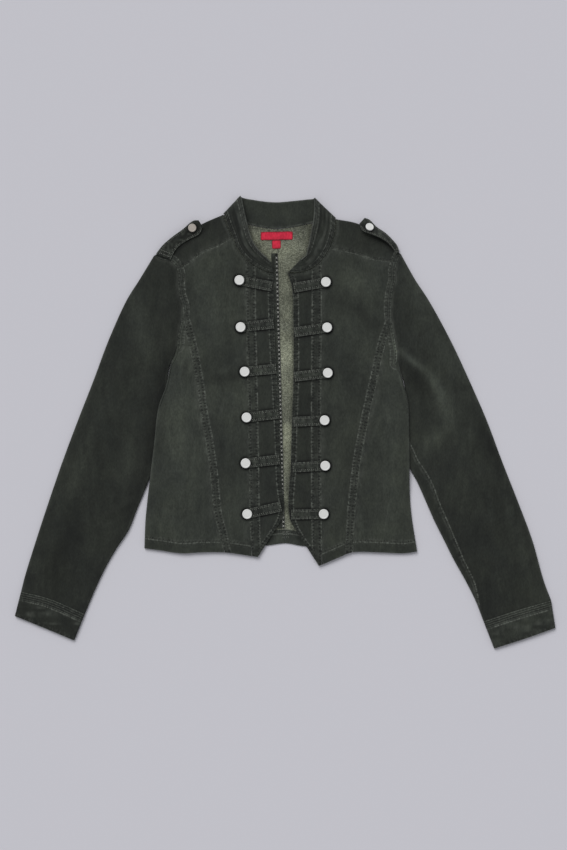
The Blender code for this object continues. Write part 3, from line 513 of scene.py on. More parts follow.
def shade_of(points, table):
    """How much paler each point is, in doublings, from washed patches and painted light and shade."""
    total = np.zeros(points.shape[:-1])
    for s in table:
        turn = np.radians(s.turn)
        dx, dy = points[..., 0] - s.x, points[..., 1] - s.y
        u = (dx * np.cos(turn) + dy * np.sin(turn)) / s.half_length
        v = (dy * np.cos(turn) - dx * np.sin(turn)) / s.half_width
        total += s.amount * np.exp(-(u**2) - v**2)
    return total


SLEEVE_DYE = {"right": 0.66, "left": 0.52}  # how much darker than the body, in doublings


def wrinkles(points, layer):
    """Fine washed creases from 0 to 1, as thin wandering lines."""
    bent = points + 5 * noise(points, 24, layer + 2)[..., None]
    long = 1 - np.abs(noise(bent, 17, layer, (0.7, 2.4)))
    short = 1 - np.abs(noise(bent, 11, layer + 1, (1.8, 0.8)))
    patch = smooth(0.5 + 1.2 * noise(points, 48, layer + 3))
    return np.maximum(long, short * 0.95) ** 9 * patch


LAP = 8.2  # the second stitch row beside a topstitched seam
BAND_LAP = 11.7
ROW = 1.8  # the first one
NO_LAP = -50.0
# For each seam, a point in plan on the side of its doubled cloth, its second row and how far it puckers
SEAM_TABLE = {
    "princess_seam": ({"right": (-60, -20), "left": (60, -20)}, LAP, 1.0),
    "yoke_seam": ({"right": (-150, 330), "left": (150, 330)}, NO_LAP, 0.4),
    "armhole": ({"right": (-60, 200), "left": (60, 200)}, LAP, 0.6),
    "band_seam": ({"right": (0, 20), "left": (0, 20)}, BAND_LAP, 0.9),
}
SLEEVE_SEAM = [
    (202, -37), (213, -61), (225, -79), (236, -99), (248, -131), (265, -170), (286, -220), (304, -259),
    (310, -290),
]


def follow(points, line, reach):
    """Run along the line, distance from it and side of it, for the points within reach of it."""
    shape = points.shape[:-1]
    low, high = line.min(0) - reach, line.max(0) + reach
    inside = ((points >= low) & (points <= high)).all(-1)
    run, far, side = np.zeros(shape), np.full(shape, float(reach)), np.ones(shape)
    if not inside.any():
        return run, far, side
    p, starts = points[inside], lengths(line)
    best = np.full(len(p), float(reach) ** 2)
    u, s = np.zeros(len(p)), np.ones(len(p))
    for a, b, start in zip(line[:-1], line[1:], starts):
        ab = b - a
        size = max(ab @ ab, 1e-9)
        t = np.clip(((p - a) @ ab) / size, 0, 1)
        step = p - a - t[:, None] * ab
        square = (step * step).sum(1)
        closer = square < best - 1e-9
        best = np.where(closer, square, best)
        u = np.where(closer, start + t * np.sqrt(size), u)
        s = np.where(closer, np.sign(ab[0] * (p[:, 1] - a[1]) - ab[1] * (p[:, 0] - a[0])), s)
    run[inside], far[inside], side[inside] = u, np.sqrt(best), s
    return run, far, side


class Seams:
    """The nearest topstitching at each point: run along it, distance past its seam and its second row."""

    def __init__(self, shape):
        self.place = np.zeros((*shape, 3))
        self.place[..., 1] = 60
        self.place[..., 2] = NO_LAP
        self.near = np.full(shape, 60.0)
        self.pucker = np.ones(shape)

    def add(self, run, past, second, pucker):
        """Takes over where this stitching is nearer. past is the distance measured from the seam."""
        rows = np.abs(past - ROW)
        if second > 0:
            rows = np.minimum(rows, np.abs(past - second))
            rows = np.where((past > ROW) & (past < second), 0, rows)
        closer = rows < self.near
        self.near = np.where(closer, rows, self.near)
        self.pucker = np.where(closer, pucker, self.pucker)
        for k, value in enumerate((run, past, second)):
            self.place[..., k] = np.where(closer, value, self.place[..., k])


def seam_relief(points, line, towards, second, strength, layer, seams):
    """Height and wear of the cloth beside a topstitched seam."""
    run, d, side = follow(points, line, 40)
    way = follow(np.array([towards], float), line, 900)[2][0]
    past = np.where(side == way, d, -d)
    seams.add(run, past, second, strength)
    on_lap = past > 0
    pucker = noise(points, 6.5, layer) * 0.6 + noise(points, 13, layer + 1) * 0.4
    lap = np.where(on_lap, 0.45 * smooth((second + 2 - d) / 2), 0)
    groove = -0.55 * bell(d, 1.5)
    rows = -0.25 * bell(past - ROW, 1.1) - 0.25 * bell(past - second, 1.1)
    waves = 0.5 * pucker * bell(d, 13)
    wear = np.where(on_lap, 0.7 * bell(d - 0.6, 1.3) + 0.7 * bell(d - second - 1, 1.5), 0)
    wear = (wear + 0.3 * bell(d, 8)) * (0.35 + 0.65 * smooth(0.5 + 0.9 * pucker))
    return lap + groove + rows + waves, wear


PUCKER = 5.2  # from one pucker of a topstitched seam to the next
STRIPE = 3.4  # from one fine crease to the next along a flat seam
PAINTED_SHADE_REACH = 2.6  # reach of the painted shade round a tab, strap or button
STRAP_REACH = {"right": 12, "left": 6}  # and how far it starts from the middle of a shoulder strap


def painted_shade_round_tabs(points, name):
    """Painted shade beside the tabs, straps and buttons, in doublings of darkness."""
    dark = np.zeros(points.shape[:-1])
    for t in TABS[name]:
        ends = np.array([[t.edge_x, t.edge_y], [t.button_x, t.button_y]], float)
        d = near(points, ends, 20)
        dark = np.maximum(dark, bell(np.maximum(d - TAB_WIDTH / 2, 0), PAINTED_SHADE_REACH))
        d = near(points, ends[1:] + np.array([[0, 0], [0.01, 0]]), 20)
        dark = np.maximum(dark, 2.6 * bell(np.maximum(d - BUTTON_RADIUS + 0.4, 0), 2.2))
    table = np.array([tuple(s) for s in EPAULETTES[name]], float)
    d = near(points, (table[:, :2] + table[:, 3:5]) / 2, 30)
    return np.maximum(dark, 0.5 * bell(np.maximum(d - STRAP_REACH[name], 0), 3))


def marks_of(wear, seams, dye_and_painted_light, **inner):
    """What the cloth's material reads at each point."""
    marks = {"wear": np.clip(wear, 0, 1), "seam": seams.place, "pucker": seams.pucker, "tone": 2.0**dye_and_painted_light}
    return marks | inner


def relief(points, name, piece):
    """The creases, seams and small unevenness of the upper layer: height, wear, place by its seams, and
    colour with painted light and shade.
    """
    lines = wrinkles(points, 0) - 0.8 * wrinkles(points + 300, 1)
    height = 0.6 * noise(points, 55, 0) + 0.3 * noise(points, 21, 1) + 0.1 * noise(points, 8, 2)
    height += 0.3 * lines
    wear = np.zeros(points.shape[:-1])
    seams = Seams(wear.shape)
    line = LINES[name]
    if piece == "body":
        height = height + fold_height(points, CREASES)
        # Patches of washed dye with painted light and shade on the folds, and painted shade round the tabs,
        # straps and buttons
        dye_and_painted_light = 1.3 * shade_of(points, BODY_DYE_AND_PAINTED_LIGHT) - 1.7 * painted_shade_round_tabs(points, name)
        for k, (key, (towards, second, strength)) in enumerate(SEAM_TABLE.items()):
            more, worn = seam_relief(points, line[key], towards[name], second, strength, k, seams)
            height, wear = height + more, np.maximum(wear, worn)
        run, hem, _ = follow(points, line["front_hem"], 40)
        seams.add(run, hem - HEM_DEPTH + 1 + ROW, NO_LAP, 0.6)
        run, edge, _ = follow(points, line["front_edge"], 12)
        seams.add(run, edge, 6.0, 1.0)
        side = near(points, line["side"], 10)
        pucker = noise(points, 7, 4)
        height += 0.4 * smooth((HEM_DEPTH + 1 - hem) / 2) - 0.35 * bell(hem - HEM_DEPTH + 1, 1.3)
        height += 0.4 * pucker * bell(hem - HEM_DEPTH, 11)
        wear = np.maximum(wear, 0.5 * bell(hem, 1.5) * (0.6 + 0.4 * pucker))
        wear = np.maximum(wear, 0.6 * bell(hem - HEM_DEPTH - 0.5, 1.3) * (0.6 + 0.5 * pucker))
        wear = np.maximum(wear, 0.6 * bell(edge, 1.2))
        wear = np.maximum(wear, 0.25 * bell(side, 3))
        dye_and_painted_light -= 0.3 * smooth((HEM_DEPTH - hem) / 3)
        run, neck, _ = follow(points, line["neck_seam"], 14)
        seams.add(run, neck, NO_LAP, 0.3)
        wear = np.maximum(wear, 0.25 * bell(neck - 4, 2))
        height -= 0.3 * bell(neck, 2)
    else:
        height = height + 1.4 * fold_height(points, SLEEVE_CREASES)
        # Patches of washed dye with painted light and shade on the sleeve's creases, darker than the body
        dye_and_painted_light = 1.55 * shade_of(points, SLEEVE_DYE_AND_PAINTED_LIGHT) - SLEEVE_DYE[name]
        dye_and_painted_light -= 0.2 * smooth((-60 - points[..., 1]) / 120)
        arm = near(points, line["armhole"], 30)
        pucker = noise(points, 8, 3)
        height += 0.6 * pucker * bell(arm, 12) - 0.5 * bell(arm, 1.5)
        cuff = near(points, line["cuff_seam"], 40)
        height += 0.6 * noise(points, 9, 5) * bell(cuff, 14) - 0.4 * bell(cuff, 1.6)
        wear = np.maximum(wear, 0.35 * bell(arm, 3))
        outer = near(points, line["sleeve_outer"], 20)
        inner = near(points, line["sleeve_inner"], 20)
        wear = np.maximum(wear, 0.22 * bell(np.minimum(outer, inner), 3))
        # Painted shade along the inner edge, where the body lies over the sleeve; darker along the armhole
        # seam
        dye_and_painted_light -= 0.25 * bell(inner, 9) + 0.3 * bell(arm, 5)
        if name == "left":
            run, d, side = follow(points, spline(SLEEVE_SEAM, 4), 20)
            past = d * np.where(side > 0, -1, 1)
            seams.add(run, past, NO_LAP, 0.3)
            height += 0.2 * smooth((7 - d) / 3) - 0.3 * bell(d, 1.4)
            height += 0.3 * noise(points, 8, 1) * bell(d, 9)
            wear = np.maximum(wear, 0.3 * bell(past - 3.2, 1.2))
    # Random mottling, and the fine creases painted paler on their ridges and darker in their troughs, as
    # painted light and shade
    dye_and_painted_light = dye_and_painted_light + 0.16 * noise(points, 34, 3) + 0.12 * noise(points, 13, 4, (0.5, 2.0)) + 0.34 * lines
    return height, marks_of(wear, seams, dye_and_painted_light)


def lift_of(points, name):
    """How far the body is raised by the sleeve under its side edge."""
    side = SIDES[name]
    y = points[..., 1]
    along = smooth((side.lift_from - y) / 30) * smooth((y - side.lift_to + 55) / 45)
    from_side = near(points, LINES[name]["side"], 80) - LIFT_FULL_WIDTH
    return LIFT * along * (1 - smooth(from_side / (LIFT_WIDTH - LIFT_FULL_WIDTH)))


def surfaces(points, name, piece, fine=True):
    """Outer heights of the top and bottom layers, turned round at the edges, and the top's marks."""
    line = LINES[name]
    outline = join(line["shoulder"], line["sleeve_outer"])
    extra, marks = relief(points, name, piece) if fine else (0, {})
    top = LOFT + fold_height(points, FOLDS) + extra
    bottom = np.zeros(points.shape[:-1])
    if piece == "body":
        bottom = lift_of(points, name)
        edge = np.minimum(near(points, outline, 9), near(points, line["side"], 9))
    else:
        top = top + fold_height(points, PRESSED)
        edge = np.minimum(near(points, outline, 9), near(points, line["sleeve_inner"], 9))
    top = top + bottom
    middle = (top + bottom) / 2
    turn = np.sqrt(1 - (1 - np.clip(edge / ROLL, 0, 1)) ** 2)
    return middle + (top - middle) * turn, middle - (middle - bottom) * turn, marks


def flat_top(points, name):
    """Height of the body's top layer without its turned edges, which straps, tabs and stitches lie on."""
    return LOFT + fold_height(points, FOLDS) + relief(points, name, "body")[0] + lift_of(points, name)


def coons(low, high, start, end):
    """Plan grid between four edge lines. Rows run from low to high, columns from start to end."""
    u_low, u_high, v_start, v_end = shares(low), shares(high), shares(start), shares(end)
    u_mean, v_mean = (u_low + u_high) / 2, (v_start + v_end) / 2
    u = ((1 - v_mean[:, None]) * u_low + v_mean[:, None] * u_high)[..., None]
    v = ((1 - u_mean) * v_start[:, None] + u_mean * v_end[:, None])[..., None]
    ruled = (1 - v) * low[None] + v * high[None] + (1 - u) * start[:, None] + u * end[:, None]
    corners = (
        (1 - u) * (1 - v) * low[0] + u * (1 - v) * low[-1] + (1 - u) * v * high[0] + u * v * high[-1]
    )
    return ruled - corners


def sideways(line, towards):
    """Unit vectors in plan, square to the line at each point, on the side of the given points."""
    along = np.gradient(line, axis=0)
    square = unit(np.stack([-along[:, 1], along[:, 0]], axis=1))
    return square * np.sign(((towards - line) * square).sum())


TURN = ROLL * (1 - np.cos(np.linspace(0, np.pi / 2, EDGE_STEPS + 1)))


def stops_for(length, count, first, last):
    """Distances along an edge: close together where the cloth turns at its first or last end."""
    start = TURN if first else np.zeros(1)
    end = length - TURN[::-1] if last else np.full(1, length)
    middle = np.linspace(start[-1], end[0], count - len(start) - len(end) + 3)[1:-1]
    return np.concatenate([start, middle, end])


def panel_grid(low, high, start, end, step, turned=(), free=()):
    """Fine plan grid of a panel between its four dense edge lines, inset at its seams."""

    def pair(one, other, first, last):
        """Two opposite edges with the same number of points, closer together where their ends turn."""
        sizes = lengths(one)[-1], lengths(other)[-1]
        count = int(np.ceil(max(sizes) / step)) + 2 * EDGE_STEPS
        return [at(line, stops_for(size, count, first, last)) for line, size in zip((one, other), sizes)]

    low, high = pair(low, high, "start" in turned, "end" in turned)
    start, end = pair(start, end, "low" in turned, "high" in turned)
    low[0] = start[0] = (low[0] + start[0]) / 2
    low[-1] = end[0] = (low[-1] + end[0]) / 2
    high[0] = start[-1] = (high[0] + start[-1]) / 2
    high[-1] = end[-1] = (high[-1] + end[-1]) / 2
    grid = coons(low, high, start, end)
    for edge in turned:
        g = grid if edge in ("start", "end") else grid.transpose(1, 0, 2)
        g = g if edge in ("start", "low") else g[:, ::-1]
        square = sideways(g[:, 0], g[:, EDGE_STEPS + 3])
        for k in range(1, EDGE_STEPS + 1):
            g[1:-1, k] = g[1:-1, 0] + square[1:-1] * TURN[k]
    for edge in ("low", "high", "start", "end"):
        if edge in free or edge in turned:
            continue
        line, inner = grid[EDGES[edge]].copy(), grid[INNER[edge]]
        grid[EDGES[edge]] = line + sideways(line, inner) * SEAM_INSET
    return grid


# The rows and columns of a panel's grid at its edges, and the next ones in
ALL = slice(None)
EDGES = {"low": (0, ALL), "high": (-1, ALL), "start": (ALL, 0), "end": (ALL, -1)}
INNER = {"low": (1, ALL), "high": (-2, ALL), "start": (ALL, 1), "end": (ALL, -2)}


def grid_normals(grid, wrap):
    """Unit normal at each point of a grid of 3-D points, from the faces round it."""
    g = np.concatenate([grid, grid[:, :1]], axis=1) if wrap else grid
    face = np.cross(g[1:, 1:] - g[:-1, :-1], g[1:, :-1] - g[:-1, 1:])
    n = np.zeros_like(grid)
    columns = face.shape[1]
    for di in (0, 1):
        for dj in (0, 1):
            if wrap:
                n[di : di + face.shape[0]] += np.roll(face, dj, axis=1)
            else:
                n[di : di + face.shape[0], dj : dj + columns] += face
    return n / np.maximum(np.linalg.norm(n, axis=-1, keepdims=True), 1e-12)


def seam_normals(edge, up):
    """Normals along a seam edge, kept in its upright plane so that the cloth ends square to it."""
    along = np.gradient(edge, axis=0)
    level = np.maximum(np.linalg.norm(along[:, :2], axis=1, keepdims=True), 1e-6)
    normals = np.concatenate([-along[:, 2:] * along[:, :2] / level, level], axis=1)
    return up * normals / np.linalg.norm(normals, axis=1, keepdims=True)


def level_from(point, neighbour):
    """The level unit vector that points from the neighbour out through the point."""
    out = np.append(point[:2] - neighbour[:2], 0)
    return out / np.linalg.norm(out)


def mesh_piece(name, vertices, faces, materials, slots=None, marks=None, node=()):
    """A smooth mesh that rides on the jacket and stands for the given solids."""
    mesh = bpy.data.meshes.new(name)
    vertices = np.asarray(vertices, float) * MM
    faces = np.asarray(faces)
    mesh.vertices.add(len(vertices))
    mesh.vertices.foreach_set("co", vertices.ravel())
    size = faces.shape[1]
    mesh.loops.add(faces.size)
    mesh.loops.foreach_set("vertex_index", faces.ravel().astype(np.int32))
    mesh.polygons.add(len(faces))
    mesh.polygons.foreach_set("loop_start", np.arange(0, faces.size, size, dtype=np.int32))
    mesh.update(calc_edges=True)
    mesh.shade_smooth()
    mesh.set_sharp_from_angle(angle=1.0)
    for made in materials:
        mesh.materials.append(made)
    if slots is not None:
        mesh.polygons.foreach_set("material_index", np.asarray(slots, np.int32))
    for key, values in (marks or {}).items():
        if key == "seam":
            layer = mesh.attributes.new(key, "FLOAT_VECTOR", "POINT")
            layer.data.foreach_set("vector", np.asarray(values, np.float32).ravel())
        else:
            layer = mesh.attributes.new(key, "FLOAT", "POINT")
            layer.data.foreach_set("value", np.asarray(values, np.float32).ravel())
    obj = bpy.data.objects.new(name, mesh)
    bpy.context.scene.collection.objects.link(obj)
    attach(obj, "root")
    if node:
        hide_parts(*([node] if isinstance(node, str) else node))
    return obj


def quads(index):
    """The four-sided faces of a grid of point numbers."""
    corners = index[:-1, :-1], index[:-1, 1:], index[1:, 1:], index[1:, :-1]
    return np.stack(corners, -1).reshape(-1, 4)


def doubled(outer, shape, inner):
    """Values for the outer points and then the inner ones."""
    width = shape[2:]
    return np.concatenate([np.broadcast_to(v, shape).reshape(-1, *width) for v in (outer, inner)])


def shell(
    name, outer, normals, thickness, marks, flip, outside, inside, node, wrap=False,
    dark_inside=None,
):
    """A closed cloth shell from its outer points, with its right side and wrong side materials."""
    shape = rows, columns = outer.shape[:2]
    inner = outer - normals * np.broadcast_to(thickness, shape)[..., None]
    for layer in (outer, inner):
        layer[..., 2] = np.maximum(layer[..., 2], 0)
    count = rows * columns
    index = np.arange(count).reshape(shape)
    if wrap:
        index = np.concatenate([index, index[:, :1]], axis=1)
    out = quads(index)
    faces = [out, out[:, ::-1] + count]
    inner_slots = np.ones(len(out)) if dark_inside is None else ~dark_inside[:-1, :-1].ravel()
    slots = [np.zeros(len(out)), inner_slots]
    rims = [index[0][::-1], index[-1]] + ([] if wrap else [index[:, 0], index[::-1, -1]])
    for rim in rims:
        p, q = rim[:-1], rim[1:]
        faces.append(np.stack([p, q, q + count, p + count], -1))
        slots.append(np.zeros(len(p)))
    faces = np.concatenate(faces)
    faces = faces[:, ::-1] if flip else faces
    far = (0, 60, NO_LAP)
    both = {
        "wear": doubled(marks.get("wear", 0.0), shape, marks.get("inner_wear", 0.0)),
        "pucker": doubled(marks.get("pucker", 0.5), shape, 0.5),
        "tone": doubled(marks.get("tone", 1.0), shape, marks.get("inner_tone", 1.0)),
        "seam": doubled(marks.get("seam", far), (*shape, 3), marks.get("inner_seam", far)),
    }
    points = np.concatenate([outer.reshape(-1, 3), inner.reshape(-1, 3)])
    return mesh_piece(name, points, faces, [outside, inside], np.concatenate(slots), both, node)


def facing(points, up, wrap=False):
    """Normals on the side that faces up, or down for up = -1, and whether the faces turn over."""
    normals = grid_normals(points, wrap)
    columns = points.shape[1] // 2 if wrap else points.shape[1]
    flip = normals[:, 1 : columns - 1, 2].sum() * up < 0
    return (-normals if flip else normals), flip


def declare(outer, tube=False):
    """Works out the cut of a cloth piece, its flat width, length and area, and keeps none of them."""
    step = np.linalg.norm(np.diff(outer, axis=1), axis=-1)
    if tube:
        step = np.concatenate([step, np.linalg.norm(outer[:, :1] - outer[:, -1:], axis=-1)], axis=1)
    width = float(step.sum(1).max())
    length = float(np.linalg.norm(np.diff(outer, axis=0), axis=-1).sum(0).max())
    g = np.concatenate([outer, outer[:, :1]], axis=1) if tube else outer
    face = np.cross(g[1:, 1:] - g[:-1, :-1], g[1:, :-1] - g[:-1, 1:])
    area = float(np.linalg.norm(face, axis=-1).sum() / 2)
    area = min(max(area, 0.3 * width * length), width * length)


def layer_panel(name, grid, height, marks, up, look, thickness, turned=(), dark_inside=None):
    """A panel of one layer over its plan grid."""
    z = height.copy()
    for edge in turned:
        z[EDGES[edge]] += up * LAYER_INSET
    outer = raised(grid, z)
    normals, flip = facing(outer, up)
    for edge in EDGES:
        if edge in turned:
            line, inner = grid[EDGES[edge]], grid[INNER[edge]]
            level = np.zeros((len(line), 3))
            level[:, :2] = -sideways(line, inner)
            for k in (0, -1):
                level[k] = level_from(line[k], inner[k])
            normals[EDGES[edge]] = level
    obj = shell(
        name + "_cloth", outer, normals, thickness, marks, flip, look["twill"], look["inside"], name,
        dark_inside=dark_inside,
    )
    declare(outer)


def panel_thickness(grid, side, cloth=CLOTH):
    """Double cloth in the hem, one layer elsewhere, and less where a seam pinches two layers to a point."""
    line = LINES[side]
    hem = near(grid, line["front_hem"], 40)
    away = smooth((near(grid, line["side"], 20) - ROLL) / 8)
    thick = cloth + (max(HEM_CLOTH, cloth) - cloth) * away * smooth((HEM_DEPTH + 1 - hem) / 1.5)
    for point in (line["armhole"][-1], line["shoulder"][0]):
        thick = thick * (PINCH + (1 - PINCH) * smooth(np.linalg.norm(grid - point, axis=-1) / PINCH_REACH))
    return thick


def front_lines(name):
    """The dense edge lines that the front's panels share."""
    side, line = SIDES[name], LINES[name]
    corner = np.array(side.front_edge[1], float)
    point = np.array(side.front_edge[0], float)
    upper = cut(line["front_edge"], corner, side.front_edge[-1])
    upper[0] = corner
    arm = line["armhole"]
    return {
        "side_hem": cut(line["front_hem"], side.front_hem[0], side.princess_seam[0]),
        "centre_hem": cut(line["front_hem"], side.princess_seam[0], side.band_seam[0]),
        "arm_low": cut(arm, side.armhole[-1], side.princess_seam[-1]),
        "arm_middle": cut(arm, side.princess_seam[-1], side.yoke_seam[0]),
        "arm_high": cut(arm, side.yoke_seam[0], side.armhole[0]),
        "neck_centre": cut(line["neck_seam"], side.yoke_seam[-1], side.band_seam[-1]),
        "neck_band": cut(line["neck_seam"], side.band_seam[-1], side.neck_seam[-1]),
        "neck_yoke": cut(line["neck_seam"], side.yoke_seam[-1], side.neck_seam[0]),
        "free": join(np.array([point, corner]), upper),
        "band_hem": np.array([side.band_seam[0], point], float),
    }


DARK_REACH = 16  # the wrong side shows as the right side this near to a side edge
THICKEST_HEM = 2.3
# Dye of the wearer's right and left panels
PANEL_TONES = {
    "front_side": {"right": 1.0, "left": 0.97},
    "front_centre": {"right": 0.9, "left": 0.87},
    "front_band": {"right": 0.8, "left": 0.66},
    "yoke": {"right": 0.6, "left": 0.66},
}


def front_panels(name, look):
    line, f = LINES[name], front_lines(name)

    def add(node, grid, thickness, turned=()):
        top, _, marks = surfaces(grid, name, "body")
        marks["tone"] = marks["tone"] * PANEL_TONES[node][name]
        dark = near(grid, line["side"], 30) < DARK_REACH
        layer_panel(f"{node}_{name}", grid, top, marks, 1, look, thickness, turned, dark)

    princess = line["princess_seam"]
    grid = panel_grid(f["side_hem"], f["arm_low"], line["side"], princess, BODY_STEP, ("start",), ("low",))
    add("front_side", grid, panel_thickness(grid, name), ("start",))
    outer = join(princess, f["arm_middle"])
    high = join(line["yoke_seam"], f["neck_centre"])
    grid = panel_grid(f["centre_hem"], high, outer, line["band_seam"], BODY_STEP, (), ("low",))
    add("front_centre", grid, panel_thickness(grid, name))
    free = "low", "end"
    grid = panel_grid(f["band_hem"], f["neck_band"], line["band_seam"], f["free"], BODY_STEP, (), free)
    add("front_band", grid, DOUBLE)
    shoulder = line["shoulder"][::-1]
    grid = panel_grid(line["yoke_seam"], shoulder, f["arm_high"], f["neck_yoke"], BODY_STEP, ("high",))
    add("yoke", grid, CLOTH, ("high",))


def back_panel(name, look):
    """One half of the back. Its inner face shows between the fronts."""
    side, line = SIDES[name], LINES[name]
    outer_edge = join(line["side"], line["armhole"][::-1])
    half_hem = cut(spline(BACK_HEM), CENTRE_BACK[0], side.side[0])
    half_neck = cut(spline(NECK_BACK), CENTRE_BACK[-1], side.shoulder[0])
    high = join(half_neck, line["shoulder"])
    grid = panel_grid(half_hem, high, spline(CENTRE_BACK), outer_edge, BACK_STEP, ("end",), ("low", "high"))
    _, bottom, _ = surfaces(grid, name, "body", fine=False)
    hem, neck, sides = near(grid, half_hem, 40), near(grid, half_neck, 60), near(grid, outer_edge, 40)
    uneven = 0.12 * noise(grid, 30, 3) + 0.05 * noise(grid, 9, 4)
    thick = panel_thickness(grid, name) + uneven + 0.7 * smooth((HEM_DEPTH - hem) / 1.5)
    thick = np.clip(thick, CLOTH * PINCH, THICKEST_HEM)
    dye_and_painted_light = 0.35 * noise(grid, 16, 4) + 0.3 * noise(grid, 45, 1, (3, 1))
    dye_and_painted_light = dye_and_painted_light + 0.2 * smooth((160 - grid[..., 1]) / 60)
    # Painted shade on the inside of the back along the neck, beside the fronts' edges and under the collar's
    # free edges
    dye_and_painted_light = dye_and_painted_light - 0.5 * bell(neck - 2, 3) - 0.9 * bell(near(grid, line["front_edge"], 20), 3)
    for table in (COLLAR_RIGHT_FRONT, COLLAR_LEFT_FRONT):
        free_edge = np.array([(s.free_x, s.free_y) for s in table], float)
        dye_and_painted_light = dye_and_painted_light - 0.9 * bell(near(grid, free_edge, 30), 4)
    marks = {"tone": 2 ** (0.2 * noise(grid, 40, 2) - 0.3), "wear": bell(hem, 3) * 0.5, "inner_tone": 2**dye_and_painted_light}
    past_hem = hem - HEM_DEPTH + 1 + ROW
    marks["inner_seam"] = np.stack([grid[..., 0], past_hem, np.full(hem.shape, NO_LAP)], axis=-1)
    dark = (hem < HEM_DEPTH) | (sides < DARK_REACH)
    layer_panel(f"back_{name}", grid, bottom, marks, -1, look, thick, ("end",), dark)


def tube(node, grid, top, bottom, marks, thickness, look, dark_rows=0):
    """A flattened tube whose two layers share one plan grid: rows along it, columns across it."""
    over = raised(grid, top)
    under = raised(grid, bottom)[:, -2:0:-1]
    ring = np.concatenate([over, under], axis=1)
    marks = {key: np.concatenate([m, m[:, -2:0:-1]], axis=1) for key, m in marks.items()}
    normals, flip = facing(ring, 1, wrap=True)
    last = grid.shape[1] - 1
    upper, lower = normals[:, 1:last], normals[:, last + 1 :]
    upper[upper[..., 2] < 0.05] = (0, 0, 1)
    lower[lower[..., 2] > -0.05] = (0, 0, -1)
    for j in (0, last):
        level = normals[:, j] * (1, 1, 0)
        normals[:, j] = level / np.linalg.norm(level, axis=1, keepdims=True)
    for i in (0, -1):
        normals[i, 1:last] = seam_normals(over[i], 1)[1:-1]
        normals[i, last + 1 :] = seam_normals(under[i], -1)
        normals[i, 0] = level_from(grid[i, 0], grid[i, 1])
        normals[i, last] = level_from(grid[i, last], grid[i, last - 1])
    dark = np.zeros(ring.shape[:2], bool)
    dark[:dark_rows] = True
    dark = np.concatenate([dark, dark[:, :1]], axis=1)
    obj = shell(
        node + "_cloth", ring, normals, thickness, marks, flip, look["twill"], look["inside"], node,
        wrap=True, dark_inside=dark,
    )
    declare(ring, tube=True)


def sleeve_and_cuff(name, look):
    line = LINES[name]
    sides, seam, end = ("start", "end"), line["cuff_seam"], line["cuff_end"]
    edges = line["armhole"], seam, line["sleeve_outer"], line["sleeve_inner"]
    grid = panel_grid(*edges, SLEEVE_STEP, sides)
    top, bottom, marks = surfaces(grid, name, "sleeve")
    tube(f"sleeve_{name}", grid, top, bottom, marks, CLOTH, look, DARK_ROWS)

    edges = seam, end, np.array([seam[0], end[0]]), np.array([seam[-1], end[-1]])
    grid = panel_grid(*edges, BODY_STEP, sides, ("high",))
    run, from_seam, _ = follow(grid, seam, 60)
    run_end, from_end, _ = follow(grid, end, 60)
    pucker = noise(grid, 7, 2)
    full = LOFT + fold_height(grid, FOLDS) + 0.25 * noise(grid, 16, 1) + 0.12 * noise(grid, 6, 5)
    full += 0.35 * smooth((12.5 - from_seam) / 1.5) + 0.3 * pucker * bell(from_seam, 14)
    full -= 0.4 * bell(from_seam, 1.5) + 0.25 * bell(from_seam - BAND_LAP, 1.2)
    full -= 0.2 * bell(from_end - ROW, 1.2)
    outer, inner = spline([seam[0], end[0]]), spline([seam[-1], end[-1]])
    edge = np.minimum(near(grid, join(line["sleeve_outer"], outer), 9), near(grid, inner, 9))
    turn = np.sqrt(1 - (1 - np.clip(edge / ROLL, 0, 1)) ** 2)
    patches = smooth(noise(grid, 9, 4, (2.2, 0.6)) * 1.6) * smooth((from_seam - 14) / 4)
    wear = 0.6 * bell(from_seam - 0.6, 1.2) + 0.5 * bell(from_seam - 13, 1.5)
    wear = (wear + 0.3 * patches * smooth((from_end - 5) / 6)) * (0.6 + 0.5 * pucker)
    seams = Seams(wear.shape)
    seams.add(run, from_seam, BAND_LAP, 0.15)
    seams.add(run_end, from_end, NO_LAP, 0.3)
    dye_and_painted_light = CUFF_DYE[name] - 0.5 * bell(from_end, 6) + 0.5 * noise(grid, 8, 3, (2.0, 0.7))
    marks = marks_of(wear, seams, dye_and_painted_light)
    tube(f"cuff_{name}", grid, full / 2 * (1 + turn), full / 2 * (1 - turn), marks, CUFF_CLOTH, look)


DARK_ROWS = 40  # rows at the sleeve's head whose wrong side is as dark as the right side
CUFF_DYE = {"right": -0.85, "left": -0.28}


